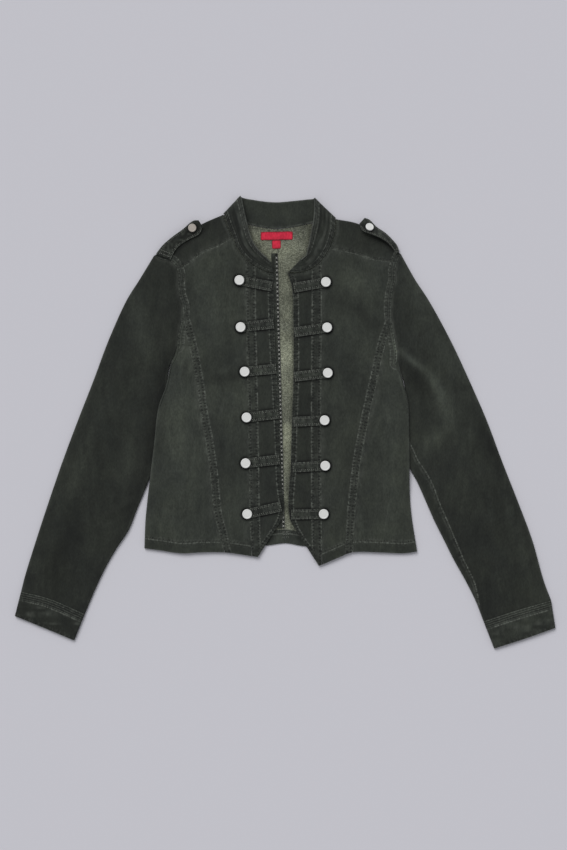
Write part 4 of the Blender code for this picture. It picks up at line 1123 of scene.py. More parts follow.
def collar(look):
    """The collar band: both fronts, the back and the two folds where it turns from one to the other."""
    across = np.linspace(0, 1, int(44 / COLLAR_STEP))

    def stations(table, steps):
        line = spline([tuple(s) for s in table], steps)
        reach = np.linalg.norm(line[:, 3:5] - line[:, :2], axis=1, keepdims=True)
        inward = (line[:, 3:5] - line[:, :2]) * (COLLAR_INSET / reach)
        share = across[None, :, None]
        plan = (line[:, None, :2] + inward[:, None]) * (1 - share) + line[:, None, 3:5] * share
        height = line[:, None, 2:3] + (line[:, None, 5:6] - line[:, None, 2:3]) * share**1.35
        return np.concatenate([plan, height], axis=-1)

    def fold(rim, low, high):
        """Rows on a half turn from the low station up to the high one, out to the rim at half height."""
        neck, free = (np.array(q, float) for q in rim)
        edge = neck + (free - neck) * across[:, None]
        rows = []
        for angle in np.radians(np.arange(7.5, 180, 7.5)):
            blend = (1 - np.cos(angle)) / 2
            base = low * (1 - blend) + high * blend
            plan = base[:, :2] + (edge - base[:, :2]) * np.sin(angle)
            rows.append(np.concatenate([plan, base[:, 2:]], axis=1))
        return np.array(rows)

    right, back, left = (stations(t, 10) for t in (COLLAR_RIGHT_FRONT, COLLAR_BACK, COLLAR_LEFT_FRONT))
    right_fold = fold(COLLAR_RIGHT_FOLD, back[0], right[-1])[::-1]
    left_fold = fold(COLLAR_LEFT_FOLD, back[-1], left[0])
    middle = np.concatenate([right, right_fold, back, left_fold, left])
    normals = grid_normals(middle, False)
    flip = normals[:20, :, 2].sum() < 0
    normals = -normals if flip else normals
    run = lengths(middle[:, len(across) // 2])
    place = crossed(run[:, None], across[None] * COLLAR_DEPTH)
    strands = noise(place, 4.2, 2, (12.0, 1.0))
    back_part = smooth((run - run[len(right)]) / 25) * smooth((run[-len(left) - 1] - run) / 25)
    creased = (1 - 0.85 * back_part)[:, None]
    bumps = 0.3 * noise(place, 18, 1) + 0.12 * noise(place, 7, 2) + 0.9 * strands * creased
    middle = middle + normals * (bumps * 0.5 * smooth(across * COLLAR_DEPTH / 4))[..., None]
    from_free, from_neck = (1 - across) * COLLAR_DEPTH, across * COLLAR_DEPTH
    wear = 0.95 * bell(from_free, 2.2) + 0.35 * bell(from_free - 6, 2) + 0.3 * bell(from_neck, 3)
    # The strands' ridges paler, partly wear and partly painted highlight
    wear = wear[None] + 0.5 * smooth(strands * 2.5 - 0.5) * creased
    wear = np.clip(wear * (0.65 + 0.5 * noise(place, 9, 3)), 0, 1)
    seams = Seams(wear.shape)
    along = np.broadcast_to(run[:, None], wear.shape)
    seams.add(along, np.broadcast_to(from_free, wear.shape), 7.0, 0.5)
    seams.add(along, np.broadcast_to(from_neck, wear.shape), 6.0, 0.6)
    # Painted shade in the strands' troughs
    dye_and_painted_light = 0.3 * noise(place, 10, 5, (0.6, 2.0)) - 0.35 - 0.9 * smooth(-strands * 2.5 - 0.3) * creased
    dye_and_painted_light = dye_and_painted_light + (0.62 - 0.5 * bell(from_neck, 5)) * back_part[:, None]
    inner_wear = np.clip(bell(from_free, 1.5) + 0.6 * bell(from_neck - 1.2, 1.2), 0, 0.9)
    inner_tone = 0.9 + 0.12 * noise(place, 14, 4)
    marks = marks_of(wear, seams, dye_and_painted_light, inner_tone=inner_tone, inner_wear=inner_wear)
    outer = middle + normals * (DOUBLE / 2)
    obj = shell("collar_cloth", outer, normals, DOUBLE, marks, flip, look["twill"], look["twill"], "collar")
    declare(outer)


def tab(name, side, t, look):
    """A strap from the front edge, with a round end under its button."""
    edge, end = np.array([t.edge_x, t.edge_y], float), np.array([t.button_x, t.button_y], float)
    length = np.linalg.norm(end - edge)
    along = (end - edge) / length
    across = np.array([-along[1], along[0]])
    radius = TAB_WIDTH / 2
    angles = np.radians(np.linspace(5, 78, 10))
    stops = np.concatenate([np.linspace(0.5, length, 40), length + radius * np.sin(angles)])[:, None]
    half = np.concatenate([np.full(40, radius), radius * np.cos(angles)])[:, None]
    share = np.linspace(-1, 1, 15)
    plan = edge + along * stops[..., None] + across * (half * share)[..., None]
    place = crossed(stops + 90 * t.button_y, half * share)
    rim = half * (1 - np.abs(share))
    crown = 0.35 * smooth(rim / 2.2) - 0.35 * bell(rim - 2.0, 0.7)
    crown = crown + 0.22 * noise(place, 6, 1) + 0.15 * noise(place, 14, 2)
    crown = crown - 0.3 * bell(stops - 5, 0.8) - 0.35 * smooth((1.2 - stops) / 1.2)
    outer = raised(plan, flat_top(plan, side) + REST_GAP + TAB_CLOTH - 0.3 + crown)
    _, flip = facing(outer, 1)
    wear = 0.45 * bell(rim - 2.2, 0.8) + 1.2 * bell(stops, 1.7) + 0.3 * smooth(noise(place, 3, 5) * 2)
    wear = wear * (0.7 + 0.6 * noise(place, 5, 3))
    seams = Seams(rim.shape)
    seams.add(np.broadcast_to(stops, rim.shape), rim - 1.7, NO_LAP, 1.0)
    to_button = np.linalg.norm(plan - end, axis=-1)
    # Painted shade along the tab's rim and round its button
    dye_and_painted_light = 0.8 * noise(place, 3.5, 4, (0.8, 1.6)) - 0.25 - 2.6 * bell(rim, 1.3) * smooth(stops / 2.5)
    dye_and_painted_light = dye_and_painted_light - 2.4 * bell(np.maximum(to_button - BUTTON_RADIUS, 0), 2)
    thickness = TAB_CLOTH - 0.3 + crown * 0.6
    marks = marks_of(wear, seams, dye_and_painted_light, inner_tone=0.5)
    cloth = look["twill"]
    obj = shell(name + "_cloth", outer, upright(outer), thickness, marks, flip, cloth, cloth, name)
    declare(outer)
    row, tack = across * (radius - 3.5), across * (radius - 1.5)
    rows = [[edge + along * 3 + k * row, end + along + k * row] for k in (-1, 1)]
    rows.append([edge + along * 1.4 - tack, edge + along * 1.4 + tack])
    return [(np.array(row), REST_GAP + TAB_CLOTH + 0.12) for row in rows]


def frame_of(normal):
    side = np.cross([0, 1, 0], normal)
    side = side / np.linalg.norm(side)
    return side, np.cross(normal, side)


# Radius and height round the button, from the middle of its underside out and back over its face
BUTTON_PROFILE = [
    (0.01, 0.0), (4.0, 0.0), (4.2, 0.3), (7.2, 0.6), (7.9, 1.0), (8.2, 1.6), (8.2, 2.3), (8.0, 2.8),
    (7.6, 3.1), (7.0, 3.2), (6.5, 3.15), (6.2, 3.0), (5.9, 2.95), (5.5, 2.98), (4.6, 3.0), (3.4, 3.02),
    (2.0, 3.03), (0.9, 3.03), (0.01, 3.03),
]


def button(name, centre, normal, metal, size=0.95):
    """A pressed metal tack button: rolled rim, a groove inside it and a flat face."""
    sides = 48
    side, other = frame_of(normal)
    profile = np.array(BUTTON_PROFILE) * (size, 1)
    angles = np.linspace(0, 2 * np.pi, sides, endpoint=False)
    ring = np.cos(angles)[:, None] * side + np.sin(angles)[:, None] * other
    points = centre + profile[:, None, 1:] * normal + profile[:, None, :1] * ring[None]
    index = np.arange(len(profile) * sides).reshape(len(profile), sides)
    faces = quads(np.concatenate([index, index[:, :1]], axis=1))
    mesh_piece(name + "_metal", points.reshape(-1, 3), faces, [metal], node=name)


def epaulette(name, look):
    """A shoulder strap sewn in at the armhole, with its button near the pointed end."""
    table = spline([tuple(s) for s in EPAULETTES[name]], 9)
    share = np.linspace(0, 1, 16)[:, None]
    plan = table[:, None, :2] * (1 - share) + table[:, None, 3:5] * share
    crown = EPAULETTE_CROWN * np.sin(np.pi * share[:, 0])
    base = LOFT + fold_height(plan, FOLDS) + lift_of(plan, name)
    rise = table[:, None, 2] * (1 - share[:, 0]) + table[:, None, 5] * share[:, 0]
    z = base + REST_GAP + EPAULETTE_CLOTH + rise + crown
    place = plan + 200
    rim = 24 * np.minimum(share[:, 0], 1 - share[:, 0])[None] * np.ones((len(table), 1))
    z = z + 0.2 * noise(place, 7, 1) + 0.3 * noise(place, 16, 2) - 0.3 * bell(rim - 2.2, 0.8)
    outer = raised(plan, z)
    normals, flip = facing(outer, 1)
    wear = np.clip((0.5 * bell(rim - 1.5, 1.3) + 0.1) * (0.5 + 0.6 * noise(place, 6, 3)), 0, 1)
    outer[..., 2] = np.maximum(outer[..., 2], EPAULETTE_CLOTH + 0.3)
    seams = Seams(rim.shape)
    run = lengths(plan[:, 8])[:, None]
    seams.add(np.broadcast_to(run, rim.shape), rim - 1.2, NO_LAP, 0.8)
    to_button = np.linalg.norm(plan - np.array(EPAULETTE_BUTTONS[name]), axis=-1)
    # Painted shade round the button and along the strap's rim
    dye_and_painted_light = -0.7 - 2.4 * bell(np.maximum(to_button - 7, 0), PAINTED_SHADE_REACH) - 0.6 * bell(rim, 1.5)
    dye_and_painted_light = dye_and_painted_light + 0.3 * noise(place, 8, 2) + 1.5 * noise(place, 3.2, 4) - 0.4 * (name == "right")
    marks = marks_of(wear, seams, dye_and_painted_light, inner_tone=0.4)
    node, cloth = f"epaulette_{name}", look["twill"]
    obj = shell(node + "_cloth", outer, normals, EPAULETTE_CLOTH, marks, flip, cloth, cloth, node)
    declare(outer)
    centre = np.array(EPAULETTE_BUTTONS[name], float)
    points, directions = outer.reshape(-1, 3), normals.reshape(-1, 3)
    weight = 1 / (np.linalg.norm(points[:, :2] - centre, axis=1) + 2.0) ** 4
    normal = (directions * weight[:, None]).sum(0)
    normal /= np.linalg.norm(normal)
    anchor = (points * weight[:, None]).sum(0) / weight.sum()
    height = anchor[2] - ((centre - anchor[:2]) @ normal[:2]) / normal[2]
    # The wearer's right strap button takes a darker copy of the button metal, as painted shade
    metal = look["painted_shade_metal"] if name == "right" else look["metal"]
    button(f"button_epaulette_{name}", np.append(centre, height) + normal * REST_GAP, normal, metal, 0.8)
    bars = [outer[i, 2:-2] + normals[i, 2:-2] * 0.15 for i in (2, 5)]
    stitch_mesh(f"epaulette_tacks_{name}", bars, look["pale"], "tack")
    return [outer[3:-4, k] + normals[3:-4, k] * 0.1 for k in (2, -3)]


Stitch = namedtuple("Stitch", "pitch length width height slant")
STITCHES = {
    "topstitch": Stitch(3.3, 2.5, 0.55, 0.3, 0.0),
    "band": Stitch(5.2, 2.4, 0.55, 0.3, 0.0),
    "tab": Stitch(3.2, 1.9, 1.05, 0.4, 0.0),
    "strap": Stitch(3.0, 1.8, 0.8, 0.35, 0.0),
    "tack": Stitch(2.6, 1.6, 0.7, 0.35, 0.0),
    "overlock": Stitch(6.7, 5.6, 1.5, 0.7, 0.7),
    "hem": Stitch(2.8, 2.0, 0.45, 0.2, 0.0),
}
# Each thread has two ends, two sides, a top and an underside
THREAD_FACES = np.array(
    [(0, 2, 4), (0, 4, 3), (0, 3, 5), (0, 5, 2), (1, 4, 2), (1, 3, 4), (1, 5, 3), (1, 2, 5)]
)


def stitch_mesh(name, rows, colour, kind):
    """Short threads along each row of 3-D points, as one piece. Every other row slants the other way."""
    pitch, length, width, height, slant = STITCHES[kind]
    vertices, faces, count = [], [], 0
    for k, row in enumerate(rows):
        total = lengths(row)[-1]
        if total < pitch:
            continue
        middles = np.arange(pitch / 2, total - pitch / 4, pitch)
        centre = at(row, middles)
        ahead = unit(at(row, middles + 0.4) - at(row, middles - 0.4))
        across = unit(np.stack([-ahead[:, 1], ahead[:, 0], np.zeros(len(ahead))], axis=1))
        c, s = np.cos(slant), np.sin(slant) * (-1) ** k
        ahead, across = ahead * c + across * s, across * c - ahead * s
        up = np.cross(ahead, across)
        up *= np.sign(up[:, 2:])
        parts = [-ahead * length / 2, ahead * length / 2, -across * width / 2, across * width / 2]
        parts += [up * height, -up * height * 0.6]
        block = (centre[:, None] + np.stack(parts, axis=1)).reshape(-1, 3)
        vertices.append(block)
        first = count + 6 * np.arange(len(centre))
        faces.append((THREAD_FACES[None] + first[:, None, None]).reshape(-1, 3))
        count += len(block)
    return mesh_piece(name, np.concatenate(vertices), np.concatenate(faces), [colour])


def beside(line, distance, towards):
    """The line moved sideways towards a point."""
    return line + sideways(line, np.array([towards], float)) * distance


def trimmed(line, first=2.0, last=2.0):
    total = lengths(line)[-1]
    stops = np.arange(first, total - last, 1.5)
    return at(line, stops)


def on_top(line, name, lift=0.12):
    """The plan line laid on the body's top layer."""
    return np.concatenate([line, (flat_top(line, name) + lift)[:, None]], axis=1)


def stitching(look, tab_rows, strap_rows):
    for name in SIDES:
        line, f, rows, dark_rows = LINES[name], front_lines(name), [], []
        inward = 1 if name == "right" else -1
        for key, (towards, second, _) in SEAM_TABLE.items():
            target = dark_rows if key == "band_seam" else rows
            for distance in (ROW, second) if second > 0 else (ROW,):
                target.append(on_top(trimmed(beside(line[key], distance, towards[name])), name))
        dark_rows.append(on_top(trimmed(beside(f["free"], 2.4, (-100 * inward, 0))), name))
        hem = join(f["side_hem"], f["centre_hem"])
        rows.append(on_top(trimmed(beside(hem, HEM_DEPTH - 1, (0, 100)), 5, 1), name))
        rows.append(on_top(trimmed(beside(line["neck_seam"], 2.2, (-150 * inward, 150)), 4, 2), name))
        laid = []
        for row, lift in tab_rows[name]:
            laid.append(on_top(at(row, np.linspace(0, lengths(row)[-1], 40)), name, lift))
        stitch_mesh(f"band_stitching_{name}", dark_rows, look["dark"], "band")
        stitch_mesh(f"topstitching_{name}", rows, look["thread"], "topstitch")
        stitch_mesh(f"tab_stitching_{name}", laid, look["tab_thread"], "tab")
        stitch_mesh(f"epaulette_stitching_{name}", strap_rows[name], look["tab_thread"], "strap")


ALLOWANCE = 10.4  # width of the centre back seam's allowance, pressed to the wearer's right
ALLOWANCE_TOP = 277


def allowance(look):
    """The overlocked allowance of the centre back seam, and the pale stitches across the hem."""
    line = spline(CENTRE_BACK, 40)
    line = line[(line[:, 1] < ALLOWANCE_TOP) & (line[:, 1] > line[:, 1].min() + HEM_DEPTH)]
    stops = np.linspace(0, lengths(line)[-1], 260)
    seam = at(line, stops)
    share = np.linspace(0, 1, 8)
    plan = seam[:, None] - np.stack([ALLOWANCE * (1 - share), 0 * share], axis=1)[None]
    z = CLOTH + REST_GAP + 1.0 + 0.15 * noise(plan, 7, 2) + 0.1 * noise(plan, 3, 1, (2, 1))
    outer = raised(plan, z)
    _, flip = facing(outer, 1)
    place = np.stack(np.broadcast_arrays(stops[:, None], ALLOWANCE * (1 - share), NO_LAP), axis=-1)
    dye_and_painted_light = 0.3 * noise(plan, 6, 3) - 0.5 - 1.4 * smooth((share - 0.6) / 0.3)
    marks = {"tone": 2**dye_and_painted_light, "seam": place, "wear": 0.3 * smooth(noise(plan, 4, 4) * 2)}
    cloth = look["twill"]
    obj = shell("centre_back_allowance", outer, upright(outer), 0.8, marks, flip, cloth, cloth, ())
    declare(outer)
    overlock = outer[:, -1] + (-2.0, 0, 0.3)
    stitch_mesh("overlocking", [overlock, overlock], look["overlock"], "overlock")
    x, y = min(seam, key=lambda point: point[1])
    z = CLOTH + 1.0
    lines = [np.linspace([x - 4, y - k, z], [x + 7, y - k + 0.4, z], 20) for k in (2, 6.2, 10.4, 14.6)]
    stitch_mesh("centre_back_stitching", lines, look["pale"], "hem")


def labels(look):
    """The woven neck label and the small tab below it, both plain."""
    joined = (SIZE_TAB[0], SIZE_TAB[1] + 0.6, SIZE_TAB[2], SIZE_TAB[3] + 1.2, SIZE_TAB[4])
    for node, (x, y, width, height, thick) in (("label", LABEL), ("size_tab", joined)):
        u, v = np.linspace(-0.5, 0.5, 40), np.linspace(-0.5, 0.5, 14)[:, None]
        past = np.clip((np.abs(v) * height - height / 2 + LABEL_CORNER) / LABEL_CORNER, 0, 1)
        half = width - 2 * LABEL_CORNER * (1 - np.sqrt(1 - past**2))
        plan = crossed(x + half * u, y + height * v).copy()
        plan[..., 1] += (plan[..., 0] - x) * 0.02
        z = CLOTH + REST_GAP + thick + 0.25 * noise(plan, 12, 1) + 0.1 * np.sin(plan[..., 0] * 0.5)
        outer = raised(plan, z)
        _, flip = facing(outer, 1)
        rim = np.minimum(height * (0.5 - np.abs(v)), width * (0.5 - np.abs(u)))
        marks = {"tone": 1 - 0.6 * bell(rim, 1.3) + 0.15 * noise(plan, 5, 3)}
        red = look["red"]
        obj = shell(
            node + "_cloth", outer, upright(outer), 0.6, marks, flip, red, red, node
        )
        declare(outer)


# Materials

OLIVE, OLIVE_WORN = (0.030, 0.034, 0.028), (0.13, 0.14, 0.12)
WRONG_SIDE, WRONG_SIDE_WORN = (0.142, 0.146, 0.118), (0.26, 0.26, 0.22)
RED, RED_WORN = (0.64, 0.026, 0.06), (0.7, 0.06, 0.1)


def group(name, inputs, outputs):
    made = bpy.data.node_groups.new(name, "ShaderNodeTree")
    for label, kind, value in inputs:
        socket = made.interface.new_socket(label, in_out="INPUT", socket_type=kind)
        if value is not None:
            socket.default_value = value
    for label, kind in outputs:
        made.interface.new_socket(label, in_out="OUTPUT", socket_type=kind)
    return made, made.nodes.new("NodeGroupInput"), made.nodes.new("NodeGroupOutput")


def add_node(tree, kind, **values):
    made = tree.nodes.new(kind)
    for key, value in values.items():
        if key.startswith("in_"):
            made.inputs[key[3:].replace("_", " ")].default_value = value
        else:
            setattr(made, key, value)
    return made


def mixed(tree, factor, a, b, blend="MIX"):
    """A colour mix. Each of the three is a socket or a value."""
    node = tree.nodes.new("ShaderNodeMix")
    node.data_type = "RGBA"
    node.blend_type = blend
    for socket, value in ((node.inputs[0], factor), (node.inputs[6], a), (node.inputs[7], b)):
        if isinstance(value, bpy.types.NodeSocket):
            tree.links.new(value, socket)
        else:
            socket.default_value = value
    return node.outputs[2]


def ramped(tree, value, low, high):
    """The value from 0 at low to 1 at high."""
    node = tree.nodes.new("ShaderNodeMapRange")
    node.inputs[1].default_value = low
    node.inputs[2].default_value = high
    tree.links.new(value, node.inputs[0])
    return node.outputs[0]


def noise_node(tree, coords, scale, detail=3.0, rough=0.55):
    node = add_node(tree, "ShaderNodeTexNoise", in_Scale=scale, in_Detail=detail, in_Roughness=rough)
    tree.links.new(coords, node.inputs["Vector"])
    return node.outputs["Fac"]


def math(tree, operation, *values, clamp=False):
    """A sum on sockets or numbers."""
    node = tree.nodes.new("ShaderNodeMath")
    node.operation = operation
    node.use_clamp = clamp
    for socket, value in zip(node.inputs, values):
        if isinstance(value, bpy.types.NodeSocket):
            tree.links.new(value, socket)
        else:
            socket.default_value = value
    return node.outputs[0]


def seam_group():
    """Marks beside topstitching: painted shade in needle holes, puckers and fine creases; pale pucker ridges
    and fold edges, partly wear and partly painted highlight.
    """
    inputs = [("Place", "NodeSocketVector", None), ("Pucker", "NodeSocketFloat", 1.0)]
    tree, inp, out = group("seam_marks", inputs, [("PaintedShade", "NodeSocketFloat"), ("Pale", "NodeSocketFloat")])
    kinds = "ADD", "SUBTRACT", "MULTIPLY", "MAXIMUM", "MINIMUM", "ABSOLUTE", "COSINE"
    plus, minus, times, most, least, size, cosine = (partial(math, tree, kind) for kind in kinds)
    ramp = partial(ramped, tree)
    split = tree.nodes.new("ShaderNodeSeparateXYZ")
    tree.links.new(inp.outputs["Place"], split.inputs[0])
    u, v, second = split.outputs
    past_second = minus(v, second)
    rows = least(size(minus(v, ROW)), size(past_second))
    beside_row = ramp(rows, 5.5, 0.5)
    in_lap = times(ramp(v, -0.8, 0.8), ramp(past_second, 1.6, 0.2))
    place = tree.nodes.new("ShaderNodeCombineXYZ")
    for value, scale, socket in zip((u, v, second), (0.3, 0.11, 0.7), place.inputs):
        tree.links.new(times(value, scale), socket)
    bars = noise_node(tree, place.outputs[0], 1.0, 1.5, 0.5)
    phase = plus(times(u, 2 * pi / PUCKER), times(bars, 9.0))
    pits = times(ramp(cosine(phase), -0.3, 0.6), ramp(rows, 2.1, 0.7))
    bar = times(ramp(bars, 0.48, 0.62), most(in_lap, beside_row))
    stripe = cosine(plus(times(v, 2 * pi / STRIPE), times(bars, 3.0)))
    stripes = times(ramp(stripe, 0.1, 0.9), in_lap)
    pucker = inp.outputs["Pucker"]
    plain = minus(1.0, pucker)
    across = times(plus(pits, times(bar, 0.4)), pucker)
    dark = plus(across, times(times(stripes, plain), 0.75), clamp=True)
    ridge = times(ramp(bars, 0.55, 0.35), beside_row)
    first_fold = ramp(size(plus(v, 0.5)), 1.5, 0.2)
    second_fold = ramp(size(minus(past_second, 2.0)), 1.5, 0.2)
    folds = times(most(first_fold, second_fold), ramp(bars, 0.68, 0.4))
    between = times(times(ramp(stripe, -0.3, -0.95), in_lap), plain)
    pale = plus(plus(times(ridge, 0.35), folds), times(between, 0.5), clamp=True)
    tree.links.new(dark, out.inputs["PaintedShade"])
    tree.links.new(pale, out.inputs["Pale"])
    return tree


def twill_group():
    """Washed twill: mottled colour, pale worn places, painted shade and highlights beside the seams, and the
    fine diagonal of the weave.
    """
    inputs = [
        ("Base", "NodeSocketColor", (0.03, 0.034, 0.028, 1)),
        ("Worn", "NodeSocketColor", (0.14, 0.15, 0.13, 1)),
        ("Wear", "NodeSocketFloat", 0.0),
        ("Tone", "NodeSocketFloat", 1.0),
        ("PaintedShade", "NodeSocketFloat", 0.0),
        ("Pale", "NodeSocketFloat", 0.0),
        ("Mottle", "NodeSocketFloat", 0.5),
    ]
    outputs = [("Color", "NodeSocketColor"), ("Height", "NodeSocketFloat")]
    tree, inp, out = group("washed_twill_look", inputs, outputs)
    coords = tree.nodes.new("ShaderNodeTexCoord").outputs["Object"]
    stretch = tree.nodes.new("ShaderNodeVectorMath")
    stretch.operation = "MULTIPLY"
    stretch.inputs[1].default_value = (1.0, 0.42, 1.0)
    tree.links.new(coords, stretch.inputs[0])
    large = noise_node(tree, coords, 14, 4.0)
    medium, small = (noise_node(tree, stretch.outputs[0], s, 4.0) for s in (110, 520))
    base = mixed(tree, ramped(tree, large, 0.3, 0.7), (0.80, 0.81, 0.84, 1), (1.18, 1.19, 1.12, 1))
    base = mixed(tree, 1.0, inp.outputs["Base"], base, "MULTIPLY")
    patch = mixed(tree, ramped(tree, medium, 0.3, 0.75), (0.76, 0.76, 0.77, 1), (1.32, 1.31, 1.26, 1))
    patched = mixed(tree, 1.0, base, patch, "MULTIPLY")
    base = mixed(tree, inp.outputs["Mottle"], base, patched)
    fleck = mixed(tree, ramped(tree, small, 0.35, 0.75), (0.8, 0.8, 0.8, 1), (1.27, 1.27, 1.27, 1))
    base = mixed(tree, 1.0, base, fleck, "MULTIPLY")
    base = mixed(tree, 1.0, base, inp.outputs["Tone"], "MULTIPLY")
    worn = math(tree, "MULTIPLY", inp.outputs["Wear"], ramped(tree, medium, 0.3, 0.72))
    pale = math(tree, "MULTIPLY", inp.outputs["Pale"], ramped(tree, small, 0.25, 0.7))
    colour = mixed(tree, math(tree, "MAXIMUM", worn, pale), base, inp.outputs["Worn"])
    # Painted shade of the needle holes, puckers and fine creases, mixed towards near black
    painted_shade_mix = math(tree, "MULTIPLY", inp.outputs["PaintedShade"], 0.85)
    colour = mixed(tree, painted_shade_mix, colour, (0.006, 0.007, 0.006, 1))
    wave = add_node(tree, "ShaderNodeTexWave", bands_direction="DIAGONAL", in_Scale=320.0, in_Distortion=1.2)
    tree.links.new(coords, wave.inputs["Vector"])
    weave = math(tree, "MULTIPLY", math(tree, "ADD", wave.outputs["Fac"], small), 0.12)
    tree.links.new(colour, out.inputs["Color"])
    height = math(tree, "SUBTRACT", weave, math(tree, "MULTIPLY", inp.outputs["PaintedShade"], 0.8))
    tree.links.new(height, out.inputs["Height"])
    return tree


def cloth_material(name, weave, marks, base, worn, mottle, sheen=0.12):
    made = bpy.data.materials.new(name)
    made.use_nodes = True
    tree = made.node_tree
    shader = tree.nodes["Principled BSDF"]
    shader.inputs["Roughness"].default_value = 0.92
    shader.inputs["Specular IOR Level"].default_value = 0.25
    shader.inputs["Sheen Weight"].default_value = sheen
    shader.inputs["Sheen Roughness"].default_value = 0.5
    look = tree.nodes.new("ShaderNodeGroup")
    look.node_tree = weave
    look.inputs["Base"].default_value = (*base, 1)
    look.inputs["Worn"].default_value = (*worn, 1)
    look.inputs["Mottle"].default_value = mottle
    seams = tree.nodes.new("ShaderNodeGroup")
    seams.node_tree = marks
    for key, label, target in (("wear", "Wear", look), ("tone", "Tone", look)):
        value = add_node(tree, "ShaderNodeAttribute", attribute_name=key)
        tree.links.new(value.outputs["Fac"], target.inputs[label])
    place = add_node(tree, "ShaderNodeAttribute", attribute_name="seam")
    tree.links.new(place.outputs["Vector"], seams.inputs["Place"])
    strength = add_node(tree, "ShaderNodeAttribute", attribute_name="pucker")
    tree.links.new(strength.outputs["Fac"], seams.inputs["Pucker"])
    for label in ("PaintedShade", "Pale"):
        tree.links.new(seams.outputs[label], look.inputs[label])
    tree.links.new(look.outputs["Color"], shader.inputs["Base Color"])
    bumped = add_node(tree, "ShaderNodeBump", in_Strength=0.6, in_Distance=0.0008)
    tree.links.new(look.outputs["Height"], bumped.inputs["Height"])
    tree.links.new(bumped.outputs["Normal"], shader.inputs["Normal"])
    return made


def speckled_material(weave, marks):
    """The wrong side of the twill: pale warp threads among dark ones."""
    made = cloth_material("twill_wrong_side", weave, marks, WRONG_SIDE, WRONG_SIDE_WORN, 0.5)
    tree = made.node_tree
    shader = tree.nodes["Principled BSDF"]
    source = shader.inputs["Base Color"].links[0].from_socket
    coords = tree.nodes.new("ShaderNodeTexCoord").outputs["Object"]
    fleck = ramped(tree, noise_node(tree, coords, 620, 3.0, 0.75), 0.42, 0.62)
    colour = mixed(tree, fleck, (0.5, 0.51, 0.47, 1), (1.65, 1.67, 1.6, 1))
    tree.links.new(mixed(tree, 1.0, source, colour, "MULTIPLY"), shader.inputs["Base Color"])
    return made


def metal_material(name, low, high):
    made = bpy.data.materials.new(name)
    made.use_nodes = True
    tree = made.node_tree
    shader = tree.nodes["Principled BSDF"]
    shader.inputs["Metallic"].default_value = 0.1
    coords = tree.nodes.new("ShaderNodeTexCoord").outputs["Object"]
    grain = noise_node(tree, coords, 1500, 3.0)
    colour = mixed(tree, ramped(tree, grain, 0.35, 0.7), (*low, 1), (*high, 1))
    tree.links.new(colour, shader.inputs["Base Color"])
    rough = add_node(tree, "ShaderNodeMapRange")
    rough.inputs[3].default_value = 0.38
    rough.inputs[4].default_value = 0.55
    tree.links.new(grain, rough.inputs[0])
    tree.links.new(rough.outputs[0], shader.inputs["Roughness"])
    bumped = add_node(tree, "ShaderNodeBump", in_Strength=0.12, in_Distance=0.0002)
    tree.links.new(grain, bumped.inputs["Height"])
    tree.links.new(bumped.outputs["Normal"], shader.inputs["Normal"])
    return made


def plain_material(name, colour, roughness):
    made = bpy.data.materials.new(name)
    made.use_nodes = True
    shader = made.node_tree.nodes["Principled BSDF"]
    shader.inputs["Base Color"].default_value = (*colour, 1)
    shader.inputs["Roughness"].default_value = roughness
    shader.inputs["Specular IOR Level"].default_value = 0.2
    return made


# Camera, light and surface

CAMERA_HEIGHT = 2.6  # metres
PHOTO_HEIGHT = 850
PIXEL = 1.6  # millimetres


def camera():
    data = bpy.data.cameras.new("camera")
    data.sensor_fit = "VERTICAL"
    data.sensor_height = 24
    data.lens = data.sensor_height * CAMERA_HEIGHT / (PHOTO_HEIGHT * PIXEL * MM)
    obj = bpy.data.objects.new("camera", data)
    obj.location = (-0.0016, -0.004, CAMERA_HEIGHT)
    bpy.context.scene.collection.objects.link(obj)
    bpy.context.scene.camera = obj


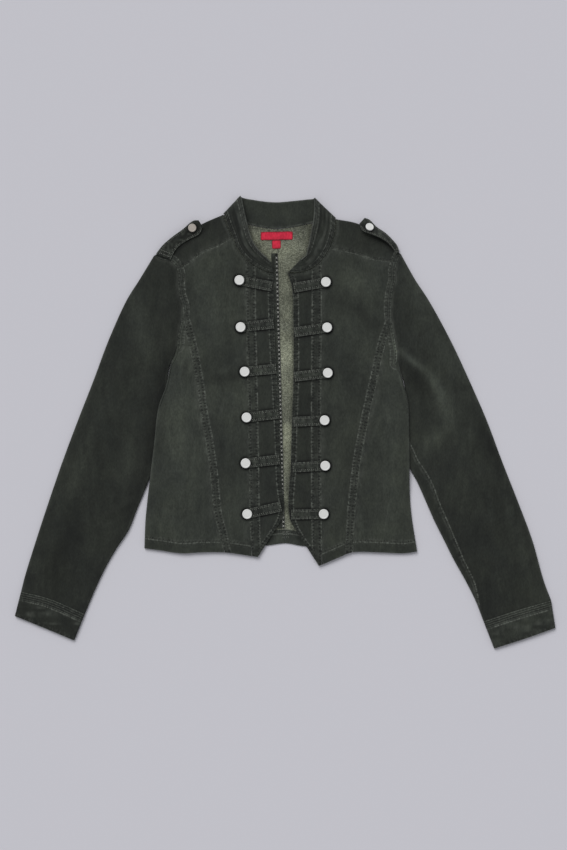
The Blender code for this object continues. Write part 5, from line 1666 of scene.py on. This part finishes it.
def studio():
    scene = bpy.context.scene
    scene.view_settings.view_transform = "Standard"
    world = bpy.data.worlds.new("studio")
    world.use_nodes = True
    world.node_tree.nodes["Background"].inputs["Color"].default_value = (0.95, 0.97, 1.0, 1)
    world.node_tree.nodes["Background"].inputs["Strength"].default_value = 0.44
    scene.world = world
    data = bpy.data.lights.new("softbox", "SUN")
    data.energy = 1.95
    data.angle = radians(38)
    light = bpy.data.objects.new("softbox", data)
    light.rotation_euler = (radians(-38), radians(-22), 0)
    scene.collection.objects.link(light)
    bpy.ops.mesh.primitive_plane_add(size=60, location=(0, 0, -0.0004))
    floor = bpy.context.object
    floor.name = "floor"
    floor.data.materials.append(plain_material("floor_paper", (0.607, 0.598, 0.640), 0.9))


def dress():
    weave, marks = twill_group(), seam_group()
    look = {
        "twill": cloth_material("washed_twill_outside", weave, marks, OLIVE, OLIVE_WORN, 0.6),
        "inside": speckled_material(weave, marks),
        "metal": metal_material("button_metal_pale", (0.64, 0.64, 0.62), (0.78, 0.78, 0.755)),
        # a darker copy of the button metal, as painted shade on one strap button
        "painted_shade_metal": metal_material("button_metal_painted_shade", (0.30, 0.27, 0.235), (0.50, 0.45, 0.40)),
        "thread": plain_material("thread_olive", (0.085, 0.09, 0.075), 0.8),
        "tab_thread": plain_material("thread_tabs", (0.19, 0.195, 0.17), 0.8),
        "dark": plain_material("thread_dark", (0.06, 0.064, 0.055), 0.8),
        "overlock": plain_material("thread_overlock", (0.36, 0.36, 0.33), 0.8),
        "pale": plain_material("thread_pale", (0.42, 0.42, 0.38), 0.8),
        "red": cloth_material("label_red_woven", weave, marks, RED, RED_WORN, 0.2, 0.1),
    }
    tab_rows, strap_rows = {}, {}
    for name in SIDES:
        back_panel(name, look)
        front_panels(name, look)
        sleeve_and_cuff(name, look)
        tab_rows[name] = []
        for k, t in enumerate(TABS[name], start=1):
            tab_rows[name] += tab(f"tab_{name}_{k}", name, t, look)
            spot = np.array([[t.button_x, t.button_y]], float)
            base = flat_top(spot, name)[0] + 2 * REST_GAP + TAB_CLOTH
            button(f"button_{name}_{k}", np.append(spot[0], base), np.array([0.0, 0.0, 1.0]), look["metal"])
        strap_rows[name] = epaulette(name, look)
    collar(look)
    labels(look)
    allowance(look)
    stitching(look, tab_rows, strap_rows)


camera()
studio()
dress()
